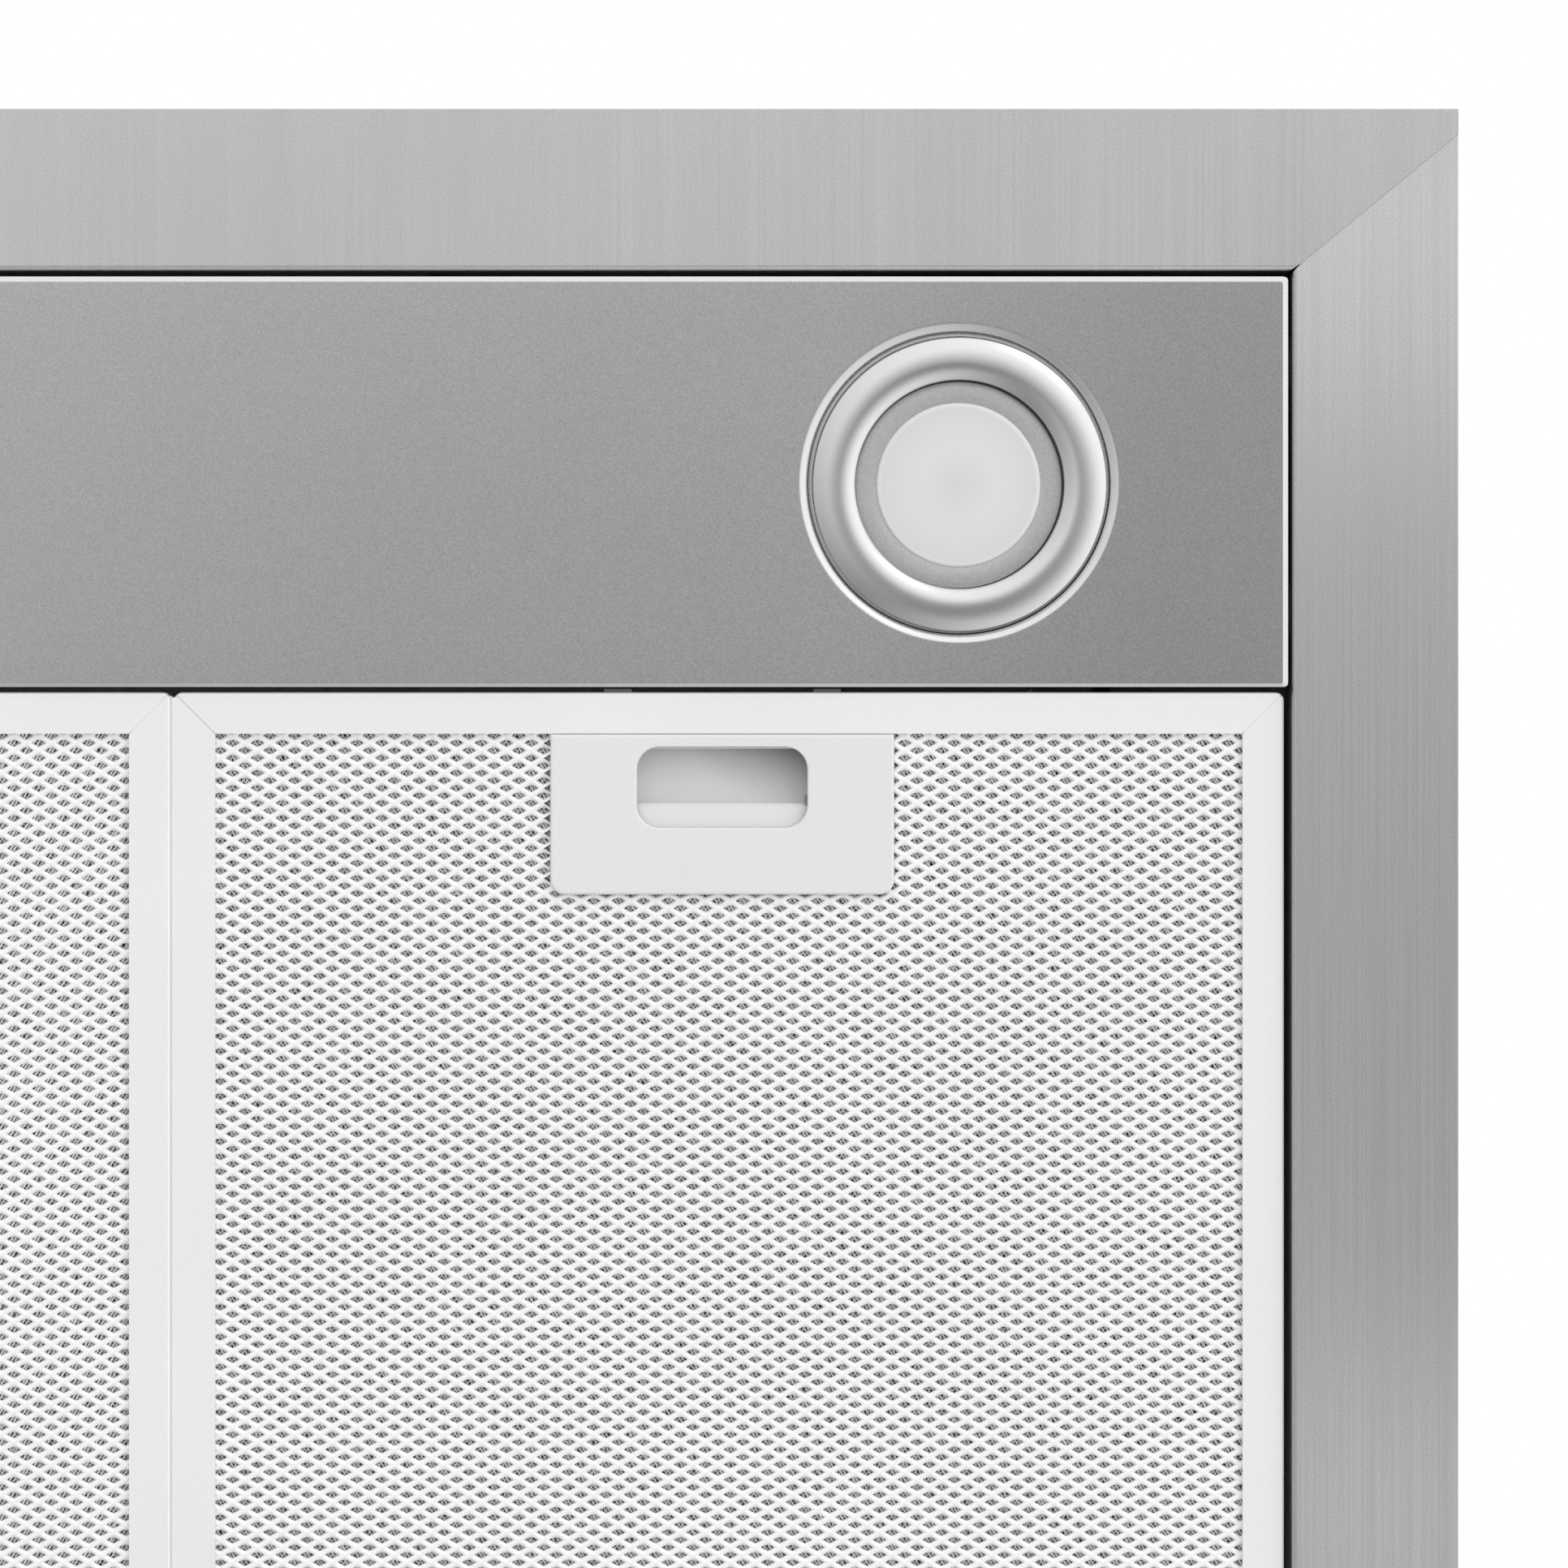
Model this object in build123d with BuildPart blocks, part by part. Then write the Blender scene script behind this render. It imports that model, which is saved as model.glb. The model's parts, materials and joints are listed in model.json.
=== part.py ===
from build123d import *
import os
from math import cos, radians, sin

os.makedirs("parts", exist_ok=True)

# Wall-mounted chimney hood, 600 mm wide, two grease filters.
# +Z is up, the front is towards -Y, the wall is the plane Y = 0, X = 0 is the middle.
# The origin is the centre of the four wall-fixing holes, on the wall plane.
# Heights in this file are counted from the rim's lower face and turned into Z by at().

# ------------------------------------------------------------------ driving dimensions, mm
WIDTH = 600.0            # outside width of the canopy
DEPTH = 490.0            # wall to front edge
SHEET = 0.8              # stainless sheet
HOLE_H = 130.0           # wall-fixing pattern's centre above the rim

FRONT_RIM = 37.7         # visible width of the front rim
SIDE_RIM = 38.7          # visible width of the side rims
REAR_RIM = 34.5          # visible width of the rear rim
SEAM_END = 5.9           # the mitre seam meets the side edge this far behind the front
LIP_H = 13.0             # inner lip of the rims
SKIRT_H = 52.0           # straight skirt
TOP_H = 196.0            # top of the sloped canopy
PLATE_T = 1.2            # top plate
RIM_R = 2.2              # outer radius of the rim's inner bend
EDGE_R = 2.0             # outer radius of the other bends
BACK_T = 1.0             # back panel

HIP_X = 126.0            # the slopes end here, in X
HIP_Y = 240.0            # and here, in front of the wall

LOWER_W, LOWER_D, LOWER_L = 250.0, 239.0, 320.0      # lower chimney
UPPER_W, UPPER_D, UPPER_L = 246.0, 237.0, 320.0      # upper chimney
UPPER_H0 = 255.0         # lower end of the upper chimney at rest
CHIMNEY_RETURN = 12.0

PANEL_H0 = 1.0           # lamp panel: height of its lower face
PANEL_TRAY = 12.0
PANEL_HALF = 260.5
PANEL_FRONT, PANEL_REAR = -451.1, -355.35

LAMP_X, LAMP_Y = 184.0, -403.2
DISH_R = 36.85           # pressed dish round the lamp
TRIM_R = 34.7            # trim ring
TRIM_IN_R = 24.3
LENS_R = 19.2

FILT_X0, FILT_X1 = 0.35, 259.7
FILT_FRONT, FILT_REAR = -354.15, -39.8
FILT_H0, FILT_T = 2.5, 9.0
BAR_W, BAR_TOP_W, BAR_T = 9.7, 6.0, 0.9
PIVOT_Y, PIVOT_H = -36.8, 4.0
PIVOT_R = 1.5
PIVOT_INSET = 45.0

LATCH_X = 128.45         # middle of the latch
LATCH_W = 80.3
LATCH_FRONT, LATCH_REAR = -344.3, -306.9
LATCH_H0, LATCH_T = 1.9, 1.4
RECESS_W, RECESS_D, RECESS_R = 39.8, 18.9, 5.3
RECESS_Y = -331.95
LEDGE_Y = -328.2
TONGUE_OFF, TONGUE_W = 24.55, 6.5
TONGUE_TIP = -355.05

BUTTON_X = (-52.0, -26.0, 0.0, 26.0, 52.0)
BUTTON_H = 27.0
BUTTON_R = 6.5

AXIS_Y, AXIS_H = -120.0, 302.0    # blower axis, along X
SCROLL_HALF = 60.0
OUTLET_H = 412.0
WHEEL_R, WHEEL_IN_R, WHEEL_HALF = 74.0, 63.0, 52.0
SHAFT_R = 4.0

DUCT_Y = -120.0
COLLAR_R, COLLAR_T, COLLAR_L = 74.5, 2.0, 50.0
FLAP_H = 424.0
FLAP_OFF = 3.5
FLAP_R = 71.0

WALL_HOLE_X, WALL_HOLE_Z, WALL_HOLE_R = 90.0, 35.0, 4.1
BRACKET_HOLE_X, BRACKET_HOLE_R = 80.0, 3.25


def at(h):
    """Z of a height above the rim's lower face."""
    return h - HOLE_H


def outline(plane, points):
    """A flat face from a closed run of points on a plane."""
    with BuildSketch(plane) as face:
        with BuildLine():
            Polyline(*points, close=True)
        make_face()
    return face.sketch


def bent(plane, points, radii, side, thickness):
    """Section of a bent sheet: the points follow one face, the thickness goes to one side."""
    with BuildSketch(plane) as section:
        with BuildLine():
            FilletPolyline(*points, radius=radii)
            offset(amount=thickness, side=side)
        make_face()
    return section.sketch


def upright(x, y):
    """Plane through a vertical axis, with the radius along its first axis and Z along its second."""
    return Plane(origin=(x, y, 0), x_dir=(1, 0, 0), z_dir=(0, -1, 0))


XO, YF = WIDTH / 2, -DEPTH
XI, YI, YR = XO - SIDE_RIM, YF + FRONT_RIM, -REAR_RIM

# ------------------------------------------------------------------ canopy shells
# Front shell: lip, rim, skirt and slope are one bent sheet, trimmed at its ends to the
# mitre seam of the rim and to the hips of the slope.
with BuildPart() as front_trim:
    extrude(outline(Plane.XY.offset(at(-1)), [
        (-XO, YF - 1), (XO, YF - 1), (XO, YF + SEAM_END), (XI, YI), (-XI, YI), (-XO, YF + SEAM_END)]),
        amount=21)
    extrude(outline(Plane.XY.offset(at(20)), [
        (-XO, YF - 1), (XO, YF - 1), (XO, YF + 10), (-XO, YF + 10)]), amount=SKIRT_H - 20)
    extrude(outline(Plane.XY.offset(at(SKIRT_H)), [
        (-XO, YF - 1), (XO, YF - 1), (XO, YF), (HIP_X, -HIP_Y), (-HIP_X, -HIP_Y), (-XO, YF)]),
        amount=TOP_H - SKIRT_H)

with BuildPart() as front_shell:
    extrude(bent(Plane.YZ.offset(-XO), [
        (YI, at(LIP_H)), (YI, at(0)), (YF, at(0)), (YF, at(SKIRT_H)), (-HIP_Y + 12, at(TOP_H) + 12 * (TOP_H - SKIRT_H) / (DEPTH - HIP_Y))],
        [RIM_R, EDGE_R, EDGE_R], Side.RIGHT, SHEET), amount=WIDTH)
    add(front_trim.part, mode=Mode.INTERSECT)
    with BuildSketch(Plane.XZ.offset(DEPTH - 5)):
        with Locations(*[(x, at(BUTTON_H)) for x in BUTTON_X]):
            Circle(BUTTON_R + 0.4)
    extrude(amount=10, mode=Mode.SUBTRACT)
front_shell.part.label = "front_shell"
export_step(front_shell.part, "parts/front_shell.step")

with BuildPart() as side_trim:
    extrude(outline(Plane.XY.offset(at(-1)), [
        (XO + 1, YF + SEAM_END - 1 * (YI - YF - SEAM_END) / SIDE_RIM), (XI, YI), (XI, 0), (XO + 1, 0)]), amount=SHEET + 1.1)
    # above the rim, the lip stops at the back panel
    extrude(outline(Plane.XY.offset(at(SHEET + 0.1)), [
        (XO + 1, YF + SEAM_END - 1 * (YI - YF - SEAM_END) / SIDE_RIM), (XI, YI), (XI, -BACK_T), (XO + 1, -BACK_T)]), amount=LIP_H)
    # the skirt starts behind the front sheet and follows the inside of its upper bend
    extrude(outline(Plane.YZ.offset(XO - 10), [
        (YF + SHEET, at(EDGE_R + 0.05)), (YF + SHEET, at(SKIRT_H - 1.2)), (YF + 1.45, at(SKIRT_H - 0.1)), (YF + 1.7, at(SKIRT_H)),
        (0, at(SKIRT_H)), (0, at(EDGE_R + 0.05))]), amount=11)
    extrude(outline(Plane.XY.offset(at(SKIRT_H)), [
        (XO, YF), (XO + 1, YF), (XO + 1, 0), (HIP_X, 0), (HIP_X, -HIP_Y)]), amount=TOP_H - SKIRT_H)

with BuildPart() as right_shell:
    extrude(bent(Plane.XZ, [
        (XI, at(LIP_H)), (XI, at(0)), (XO, at(0)), (XO, at(SKIRT_H)), (HIP_X - 12, at(TOP_H) + 12 * (TOP_H - SKIRT_H) / (XO - HIP_X))],
        [RIM_R, EDGE_R, EDGE_R], Side.LEFT, SHEET), amount=DEPTH)
    add(side_trim.part, mode=Mode.INTERSECT)
right_shell.part.label = "right_shell"
export_step(right_shell.part, "parts/right_shell.step")

with BuildPart() as left_shell:
    mirror(right_shell.part, about=Plane.YZ)
left_shell.part.label = "left_shell"
export_step(left_shell.part, "parts/left_shell.step")

# ------------------------------------------------------------------ back panel, rear rail, top plate
with BuildPart() as back_panel:
    extrude(outline(Plane.XZ, [
        (-XO + 1.0, at(1.0)), (XO - 1.0, at(1.0)), (XO - 1.0, at(SKIRT_H - 1.5)), (XO - 2.2, at(SKIRT_H)), (HIP_X - 1.7, at(TOP_H)),
        (-HIP_X + 1.7, at(TOP_H)), (-XO + 2.2, at(SKIRT_H)), (-XO + 1.0, at(SKIRT_H - 1.5))]), amount=BACK_T)
    with BuildSketch(Plane.XZ):
        with GridLocations(2 * WALL_HOLE_X, 2 * WALL_HOLE_Z, 2, 2):
            Circle(WALL_HOLE_R)
    extrude(amount=BACK_T, mode=Mode.SUBTRACT)
back_panel.part.label = "back_panel"
export_step(back_panel.part, "parts/back_panel.step")

with BuildPart() as rear_rail:
    extrude(bent(Plane.YZ.offset(-XI + 0.4), [
        (YR, at(LIP_H)), (YR, at(0)), (-BACK_T, at(0)), (-BACK_T, at(24))],
        [RIM_R, EDGE_R], Side.LEFT, SHEET), amount=2 * XI - 0.8)
rear_rail.part.label = "rear_rail"
export_step(rear_rail.part, "parts/rear_rail.step")

GLAND_X, GLAND_Y = 102.0, -120.0
PLATE_TOP = TOP_H + PLATE_T
with BuildPart() as top_plate:
    extrude(outline(Plane.XY.offset(at(TOP_H)), [
        (-HIP_X - 1, -HIP_Y - 1), (HIP_X + 1, -HIP_Y - 1), (HIP_X + 1, 0), (-HIP_X - 1, 0)]), amount=PLATE_T)
    extrude(outline(Plane.XY.offset(at(TOP_H - 1)), [
        (-110, -216), (78, -216), (78, -24), (-110, -24)]), amount=5, mode=Mode.SUBTRACT)
    with Locations((123.7, -120, at(PLATE_TOP + 7.5)), (-123.7, -120, at(PLATE_TOP + 7.5))):
        Box(1.0, 160, 15)
    with Locations((GLAND_X, GLAND_Y, at(TOP_H))):
        Cylinder(8.1, 10, mode=Mode.SUBTRACT)
    with Locations(Location((0, -120, at(PLATE_TOP + 8)), (0, 90, 0))):
        Cylinder(1.75, 300, mode=Mode.SUBTRACT)
top_plate.part.label = "top_plate"
export_step(top_plate.part, "parts/top_plate.step")

# ------------------------------------------------------------------ chimney
with BuildPart() as lower_chimney:
    x, yb, yfr = LOWER_W / 2, -0.5, -LOWER_D
    extrude(bent(Plane.XY.offset(at(PLATE_TOP)), [
        (-x + CHIMNEY_RETURN, yb), (-x, yb), (-x, yfr), (x, yfr), (x, yb), (x - CHIMNEY_RETURN, yb)],
        [1.5, 3.0, 3.0, 1.5], Side.LEFT, SHEET), amount=LOWER_L)
    with Locations(Location((0, -120, at(PLATE_TOP + 8)), (0, 90, 0))):
        Cylinder(2.1, 300, mode=Mode.SUBTRACT)
lower_chimney.part.label = "lower_chimney"
export_step(lower_chimney.part, "parts/lower_chimney.step")

UPPER_TOP = UPPER_H0 + UPPER_L
BRACKET_H = UPPER_TOP - 19
with BuildPart() as upper_chimney:
    x, yb, yfr = UPPER_W / 2, -2.5, -UPPER_D
    extrude(bent(Plane.XY.offset(at(UPPER_H0)), [
        (-x + CHIMNEY_RETURN, yb), (-x, yb), (-x, yfr), (x, yfr), (x, yb), (x - CHIMNEY_RETURN, yb)],
        [1.5, 3.0, 3.0, 1.5], Side.LEFT, SHEET), amount=UPPER_L)
    # the rear returns are notched for the wall bracket
    with Locations((0, -2.5, at(UPPER_TOP - 20))):
        Box(UPPER_W - 2 * SHEET, 4.0, 40.0, mode=Mode.SUBTRACT)
    with Locations((0, 0.0, at(UPPER_TOP - 20))):
        Box(UPPER_W + 2, 8.2, 40.0, mode=Mode.SUBTRACT)
    # vent slots in both sides
    with BuildSketch(Plane.YZ):
        with Locations(*[(y, at(h)) for y in (-70, -120, -170) for h in (UPPER_TOP - 38, UPPER_TOP - 27, UPPER_TOP - 16)]):
            SlotOverall(40, 4.6)
    extrude(amount=200, both=True, mode=Mode.SUBTRACT)
    with Locations(Location((0, -18, at(BRACKET_H)), (0, 90, 0))):
        Cylinder(2.1, 300, mode=Mode.SUBTRACT)
upper_chimney.part.label = "upper_chimney"
export_step(upper_chimney.part, "parts/upper_chimney.step")

with BuildPart() as chimney_bracket:
    x = UPPER_W / 2 - SHEET
    extrude(bent(Plane.XY.offset(at(BRACKET_H - 14)), [(-x, -30), (-x, 0), (x, 0), (x, -30)],
                 [3.0, 3.0], Side.RIGHT, 1.5), amount=28)
    with BuildSketch(Plane.XZ):
        with Locations((-BRACKET_HOLE_X, at(BRACKET_H)), (BRACKET_HOLE_X, at(BRACKET_H))):
            Circle(BRACKET_HOLE_R)
    extrude(amount=5, mode=Mode.SUBTRACT)
    with Locations(Location((0, -18, at(BRACKET_H)), (0, 90, 0))):
        Cylinder(1.75, 300, mode=Mode.SUBTRACT)
chimney_bracket.part.label = "chimney_bracket"
export_step(chimney_bracket.part, "parts/chimney_bracket.step")

with BuildPart() as bracket_screws:
    for s in (-1, 1):
        with BuildSketch(Plane(origin=(s * UPPER_W / 2, -18, at(BRACKET_H)), x_dir=(0, 1, 0), z_dir=(s, 0, 0))):
            Circle(3.6)
        extrude(amount=2.0)
        with BuildSketch(Plane(origin=(s * UPPER_W / 2, -18, at(BRACKET_H)), x_dir=(0, 1, 0), z_dir=(-s, 0, 0))):
            Circle(1.7)
        extrude(amount=8.0)
    fillet(bracket_screws.edges().filter_by(GeomType.CIRCLE).group_by(Axis.X)[0], 1.2)
    fillet(bracket_screws.edges().filter_by(GeomType.CIRCLE).group_by(Axis.X)[-1], 1.2)
bracket_screws.part.label = "bracket_screws"
export_step(bracket_screws.part, "parts/bracket_screws.step")

with BuildPart() as chimney_screws:
    for s in (-1, 1):
        with BuildSketch(Plane(origin=(s * LOWER_W / 2, -120, at(PLATE_TOP + 8)), x_dir=(0, 1, 0), z_dir=(s, 0, 0))):
            Circle(3.6)
        extrude(amount=2.0)
        with BuildSketch(Plane(origin=(s * LOWER_W / 2, -120, at(PLATE_TOP + 8)), x_dir=(0, 1, 0), z_dir=(-s, 0, 0))):
            Circle(1.7)
        extrude(amount=8.0)
    fillet(chimney_screws.edges().filter_by(GeomType.CIRCLE).group_by(Axis.X)[0], 1.2)
    fillet(chimney_screws.edges().filter_by(GeomType.CIRCLE).group_by(Axis.X)[-1], 1.2)
chimney_screws.part.label = "chimney_screws"
export_step(chimney_screws.part, "parts/chimney_screws.step")

# ------------------------------------------------------------------ lamp panel and lamps
PANEL_D = PANEL_REAR - PANEL_FRONT
with BuildPart() as lamp_panel:
    with BuildSketch(Plane.XY.offset(at(PANEL_H0))):
        with Locations((0, (PANEL_FRONT + PANEL_REAR) / 2)):
            RectangleRounded(2 * PANEL_HALF, PANEL_D, 3.0)
    extrude(amount=PANEL_TRAY)
    fillet(lamp_panel.faces().sort_by(Axis.Z)[0].edges(), 1.8)
    offset(amount=-SHEET, openings=lamp_panel.faces().sort_by(Axis.Z)[-1])
    # pressed dishes that seat the lamp trims
    with Locations((LAMP_X, LAMP_Y, at(PANEL_H0)), (-LAMP_X, LAMP_Y, at(PANEL_H0))):
        Cylinder(DISH_R + 0.35, 4.0, mode=Mode.SUBTRACT)
    for s in (-1, 1):
        with BuildSketch(upright(s * LAMP_X, LAMP_Y)):
            with BuildLine():
                Polyline((DISH_R + 0.75, at(1.0)), (DISH_R, at(1.0)), (DISH_R - 1.9, at(2.6)), (31.2, at(2.6)),
                         (31.2, at(3.4)), (DISH_R - 1.5, at(3.4)), (DISH_R + 0.75, at(1.8)), close=True)
            make_face()
        revolve(axis=Axis((s * LAMP_X, LAMP_Y, 0), (0, 0, 1)))
lamp_panel.part.label = "lamp_panel"
export_step(lamp_panel.part, "parts/lamp_panel.step")

with BuildPart() as panel_straps:
    with Locations(*[(s * (XI - 1.0), y, at(LIP_H + 0.6)) for s in (-1, 1) for y in (-432, -374)]):
        Box(15, 12, 1.2)
panel_straps.part.label = "panel_straps"
export_step(panel_straps.part, "parts/panel_straps.step")

with BuildPart() as lamp_trims:
    for s in (-1, 1):
        with BuildSketch(upright(s * LAMP_X, LAMP_Y)):
            with BuildLine():
                ThreePointArc((TRIM_IN_R, at(1.5)), (28.6, at(-1.2)), (TRIM_R, at(2.0)))
                Polyline((TRIM_R, at(2.0)), (TRIM_R, at(2.6)), (30.9, at(2.6)), (30.9, at(32)), (29.9, at(32)),
                         (29.9, at(9.0)), (25.7, at(9.0)), (25.7, at(2.6)), (TRIM_IN_R, at(2.6)), (TRIM_IN_R, at(1.5)))
            make_face()
        revolve(axis=Axis((s * LAMP_X, LAMP_Y, 0), (0, 0, 1)))
lamp_trims.part.label = "lamp_trims"
export_step(lamp_trims.part, "parts/lamp_trims.step")

with BuildPart() as lamp_bulbs:
    for s in (-1, 1):
        with BuildSketch(upright(s * LAMP_X, LAMP_Y)):
            with BuildLine():
                Polyline((0, at(4.2)), (LENS_R + 0.2, at(4.2)), (LENS_R + 0.2, at(2.7)), (25.0, at(2.7)), (25.0, at(8.5)),
                         (13.0, at(40)), (9.5, at(44)), (9.5, at(56)), (0, at(56)), close=True)
            make_face()
        revolve(axis=Axis((s * LAMP_X, LAMP_Y, 0), (0, 0, 1)))
        with Locations((s * LAMP_X - 5, LAMP_Y, at(59.5)), (s * LAMP_X + 5, LAMP_Y, at(59.5))):
            Cylinder(2.3, 7.0)
lamp_bulbs.part.label = "lamp_bulbs"
export_step(lamp_bulbs.part, "parts/lamp_bulbs.step")

with BuildPart() as lamp_lenses:
    for s in (-1, 1):
        with BuildSketch(upright(s * LAMP_X, LAMP_Y)):
            with BuildLine():
                ThreePointArc((0, at(2.0)), (LENS_R / 2, at(2.25)), (LENS_R, at(3.0)))
                Polyline((LENS_R, at(3.0)), (LENS_R, at(4.2)), (0, at(4.2)), (0, at(2.0)))
            make_face()
        revolve(axis=Axis((s * LAMP_X, LAMP_Y, 0), (0, 0, 1)))
lamp_lenses.part.label = "lamp_lenses"
export_step(lamp_lenses.part, "parts/lamp_lenses.step")

with BuildPart() as lamp_holders:
    with Locations((LAMP_X, LAMP_Y, at(69)), (-LAMP_X, LAMP_Y, at(69))):
        Cylinder(14.0, 24.0)
    with Locations(*[(s * LAMP_X + d, LAMP_Y, at(61)) for s in (-1, 1) for d in (-5, 5)]):
        Cylinder(2.6, 8.0, mode=Mode.SUBTRACT)
lamp_holders.part.label = "lamp_holders"
export_step(lamp_holders.part, "parts/lamp_holders.step")

with BuildPart() as lamp_brackets:
    for s in (-1, 1):
        c = s * LAMP_X
        extrude(bent(Plane.XZ.offset(-LAMP_Y - 8), [
            (c - 54, at(1.8)), (c - 42, at(1.8)), (c - 42, at(81)), (c + 42, at(81)), (c + 42, at(1.8)), (c + 54, at(1.8))],
            [1.0, 4.0, 4.0, 1.0], Side.LEFT, 1.2), amount=16)
lamp_brackets.part.label = "lamp_brackets"
export_step(lamp_brackets.part, "parts/lamp_brackets.step")

# ------------------------------------------------------------------ grease filters
FILT_W, FILT_D = FILT_X1 - FILT_X0, FILT_REAR - FILT_FRONT
FILT_CX, FILT_CY = (FILT_X0 + FILT_X1) / 2, (FILT_FRONT + FILT_REAR) / 2
LUG_X = (FILT_X0 + PIVOT_INSET, FILT_X1 - PIVOT_INSET)

with BuildPart() as filter_frame_right:
    with BuildSketch(Plane.XY.offset(at(FILT_H0))):
        with Locations((FILT_CX, FILT_CY)):
            RectangleRounded(FILT_W, FILT_D, 2.0)
    extrude(amount=FILT_T)
    fillet(filter_frame_right.faces().sort_by(Axis.Z)[0].edges(), 0.8)
    fillet(filter_frame_right.faces().sort_by(Axis.Z)[-1].edges(), 0.8)
    # channel section: a wide lower leg, a web, a narrower upper leg
    with Locations((FILT_CX, FILT_CY, at(FILT_H0))):
        Box(FILT_W - 2 * BAR_W, FILT_D - 2 * BAR_W, 6.0, mode=Mode.SUBTRACT)
    with Locations((FILT_CX, FILT_CY, at(FILT_H0 + FILT_T / 2))):
        Box(FILT_W - 2 * BAR_T, FILT_D - 2 * BAR_T, FILT_T - 2 * BAR_T, mode=Mode.SUBTRACT)
    with Locations((FILT_CX, FILT_CY, at(FILT_H0 + FILT_T))):
        Box(FILT_W - 2 * BAR_TOP_W, FILT_D - 2 * BAR_TOP_W, 6.0, mode=Mode.SUBTRACT)
    # slots for the latch tongues in the front web
    with Locations(*[(LATCH_X + s * TONGUE_OFF, FILT_FRONT, at(7.2)) for s in (-1, 1)]):
        Box(TONGUE_W + 0.7, 5.0, 3.4, mode=Mode.SUBTRACT)
    # pivot lugs on the rear web
    with Locations(*[(x, (FILT_REAR + PIVOT_Y) / 2 - 0.15, at(PIVOT_H)) for x in LUG_X]):
        Box(6.0, PIVOT_Y - FILT_REAR + 0.3, 2.2)
    with Locations(*[Location((x, PIVOT_Y, at(PIVOT_H)), (0, 90, 0)) for x in LUG_X]):
        Cylinder(PIVOT_R, 18.0)
    # mitred corners
    for x, y, a in ((FILT_X0, FILT_FRONT, 45), (FILT_X1, FILT_FRONT, -45), (FILT_X0, FILT_REAR, -45), (FILT_X1, FILT_REAR, 45)):
        with Locations(Location((x, y, at(FILT_H0 + FILT_T / 2)), (0, 0, a))):
            Box(36.0, 0.12, 30.0, mode=Mode.SUBTRACT)
filter_frame_right.part.label = "filter_frame_right"
export_step(filter_frame_right.part, "parts/filter_frame_right.step")

with BuildPart() as filter_frame_left:
    mirror(filter_frame_right.part, about=Plane.YZ)
filter_frame_left.part.label = "filter_frame_left"
export_step(filter_frame_left.part, "parts/filter_frame_left.step")

NOTCH = [(LATCH_X - 38.5, FILT_FRONT), (LATCH_X + 38.5, FILT_FRONT), (LATCH_X + 38.5, LATCH_REAR - 1.6), (LATCH_X - 38.5, LATCH_REAR - 1.6)]
with BuildPart() as filter_mesh_right:
    with Locations((FILT_CX, FILT_CY, at(3.75))):
        Box(FILT_W - 2.6, FILT_D - 2.6, 0.6)
    extrude(outline(Plane.XY.offset(at(0)), NOTCH), amount=12, mode=Mode.SUBTRACT)
filter_mesh_right.part.label = "filter_mesh_right"
export_step(filter_mesh_right.part, "parts/filter_mesh_right.step")

with BuildPart() as filter_mesh_left:
    mirror(filter_mesh_right.part, about=Plane.YZ)
filter_mesh_left.part.label = "filter_mesh_left"
export_step(filter_mesh_left.part, "parts/filter_mesh_left.step")

with BuildPart() as filter_core_right:
    with Locations(*[(FILT_CX, FILT_CY, at(h)) for h in (5.3, 6.8, 8.3, 9.9)]):
        Box(FILT_W - 2.6, FILT_D - 2.6, 0.5)
    extrude(outline(Plane.XY.offset(at(0)), NOTCH), amount=12, mode=Mode.SUBTRACT)
filter_core_right.part.label = "filter_core_right"
export_step(filter_core_right.part, "parts/filter_core_right.step")

with BuildPart() as filter_core_left:
    mirror(filter_core_right.part, about=Plane.YZ)
filter_core_left.part.label = "filter_core_left"
export_step(filter_core_left.part, "parts/filter_core_left.step")

# Latch plate: a proud face plate with a finger recess, and a walled case behind it.
LATCH_Y = (LATCH_FRONT + LATCH_REAR) / 2
CASE_W, CASE_FRONT, CASE_REAR, CASE_T, CASE_TOP = 73.0, -343.9, -310.9, 1.3, 10.2
with BuildPart() as latch_plate_right:
    with BuildSketch(Plane.XY.offset(at(LATCH_H0))) as plate_face:
        with Locations((LATCH_X, LATCH_Y)):
            Rectangle(LATCH_W, LATCH_REAR - LATCH_FRONT)
        fillet(plate_face.vertices().group_by(Axis.Y)[-1], 3.4)
    extrude(amount=LATCH_T)
    fillet(latch_plate_right.faces().sort_by(Axis.Z)[0].edges(), 0.6)
    with Locations((LATCH_X, (CASE_FRONT + CASE_REAR) / 2, at((LATCH_H0 + LATCH_T + CASE_TOP) / 2))):
        Box(CASE_W, CASE_REAR - CASE_FRONT, CASE_TOP - LATCH_H0 - LATCH_T)
        Box(CASE_W - 2 * CASE_T, CASE_REAR - CASE_FRONT - 2 * CASE_T, CASE_TOP - LATCH_H0 - LATCH_T, mode=Mode.SUBTRACT)
    with BuildSketch(Plane.XY.offset(at(LATCH_H0 - 1))):
        with Locations((LATCH_X, RECESS_Y)):
            RectangleRounded(RECESS_W, RECESS_D, RECESS_R)
    extrude(amount=LATCH_T + 2, mode=Mode.SUBTRACT)
    with Locations(*[(LATCH_X + s * TONGUE_OFF, CASE_FRONT, at(7.2)) for s in (-1, 1)]):
        Box(TONGUE_W + 0.7, 5.0, 3.4, mode=Mode.SUBTRACT)
latch_plate_right.part.label = "latch_plate_right"
export_step(latch_plate_right.part, "parts/latch_plate_right.step")

with BuildPart() as latch_plate_left:
    mirror(latch_plate_right.part, about=Plane.YZ)
latch_plate_left.part.label = "latch_plate_left"
export_step(latch_plate_left.part, "parts/latch_plate_left.step")

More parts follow.
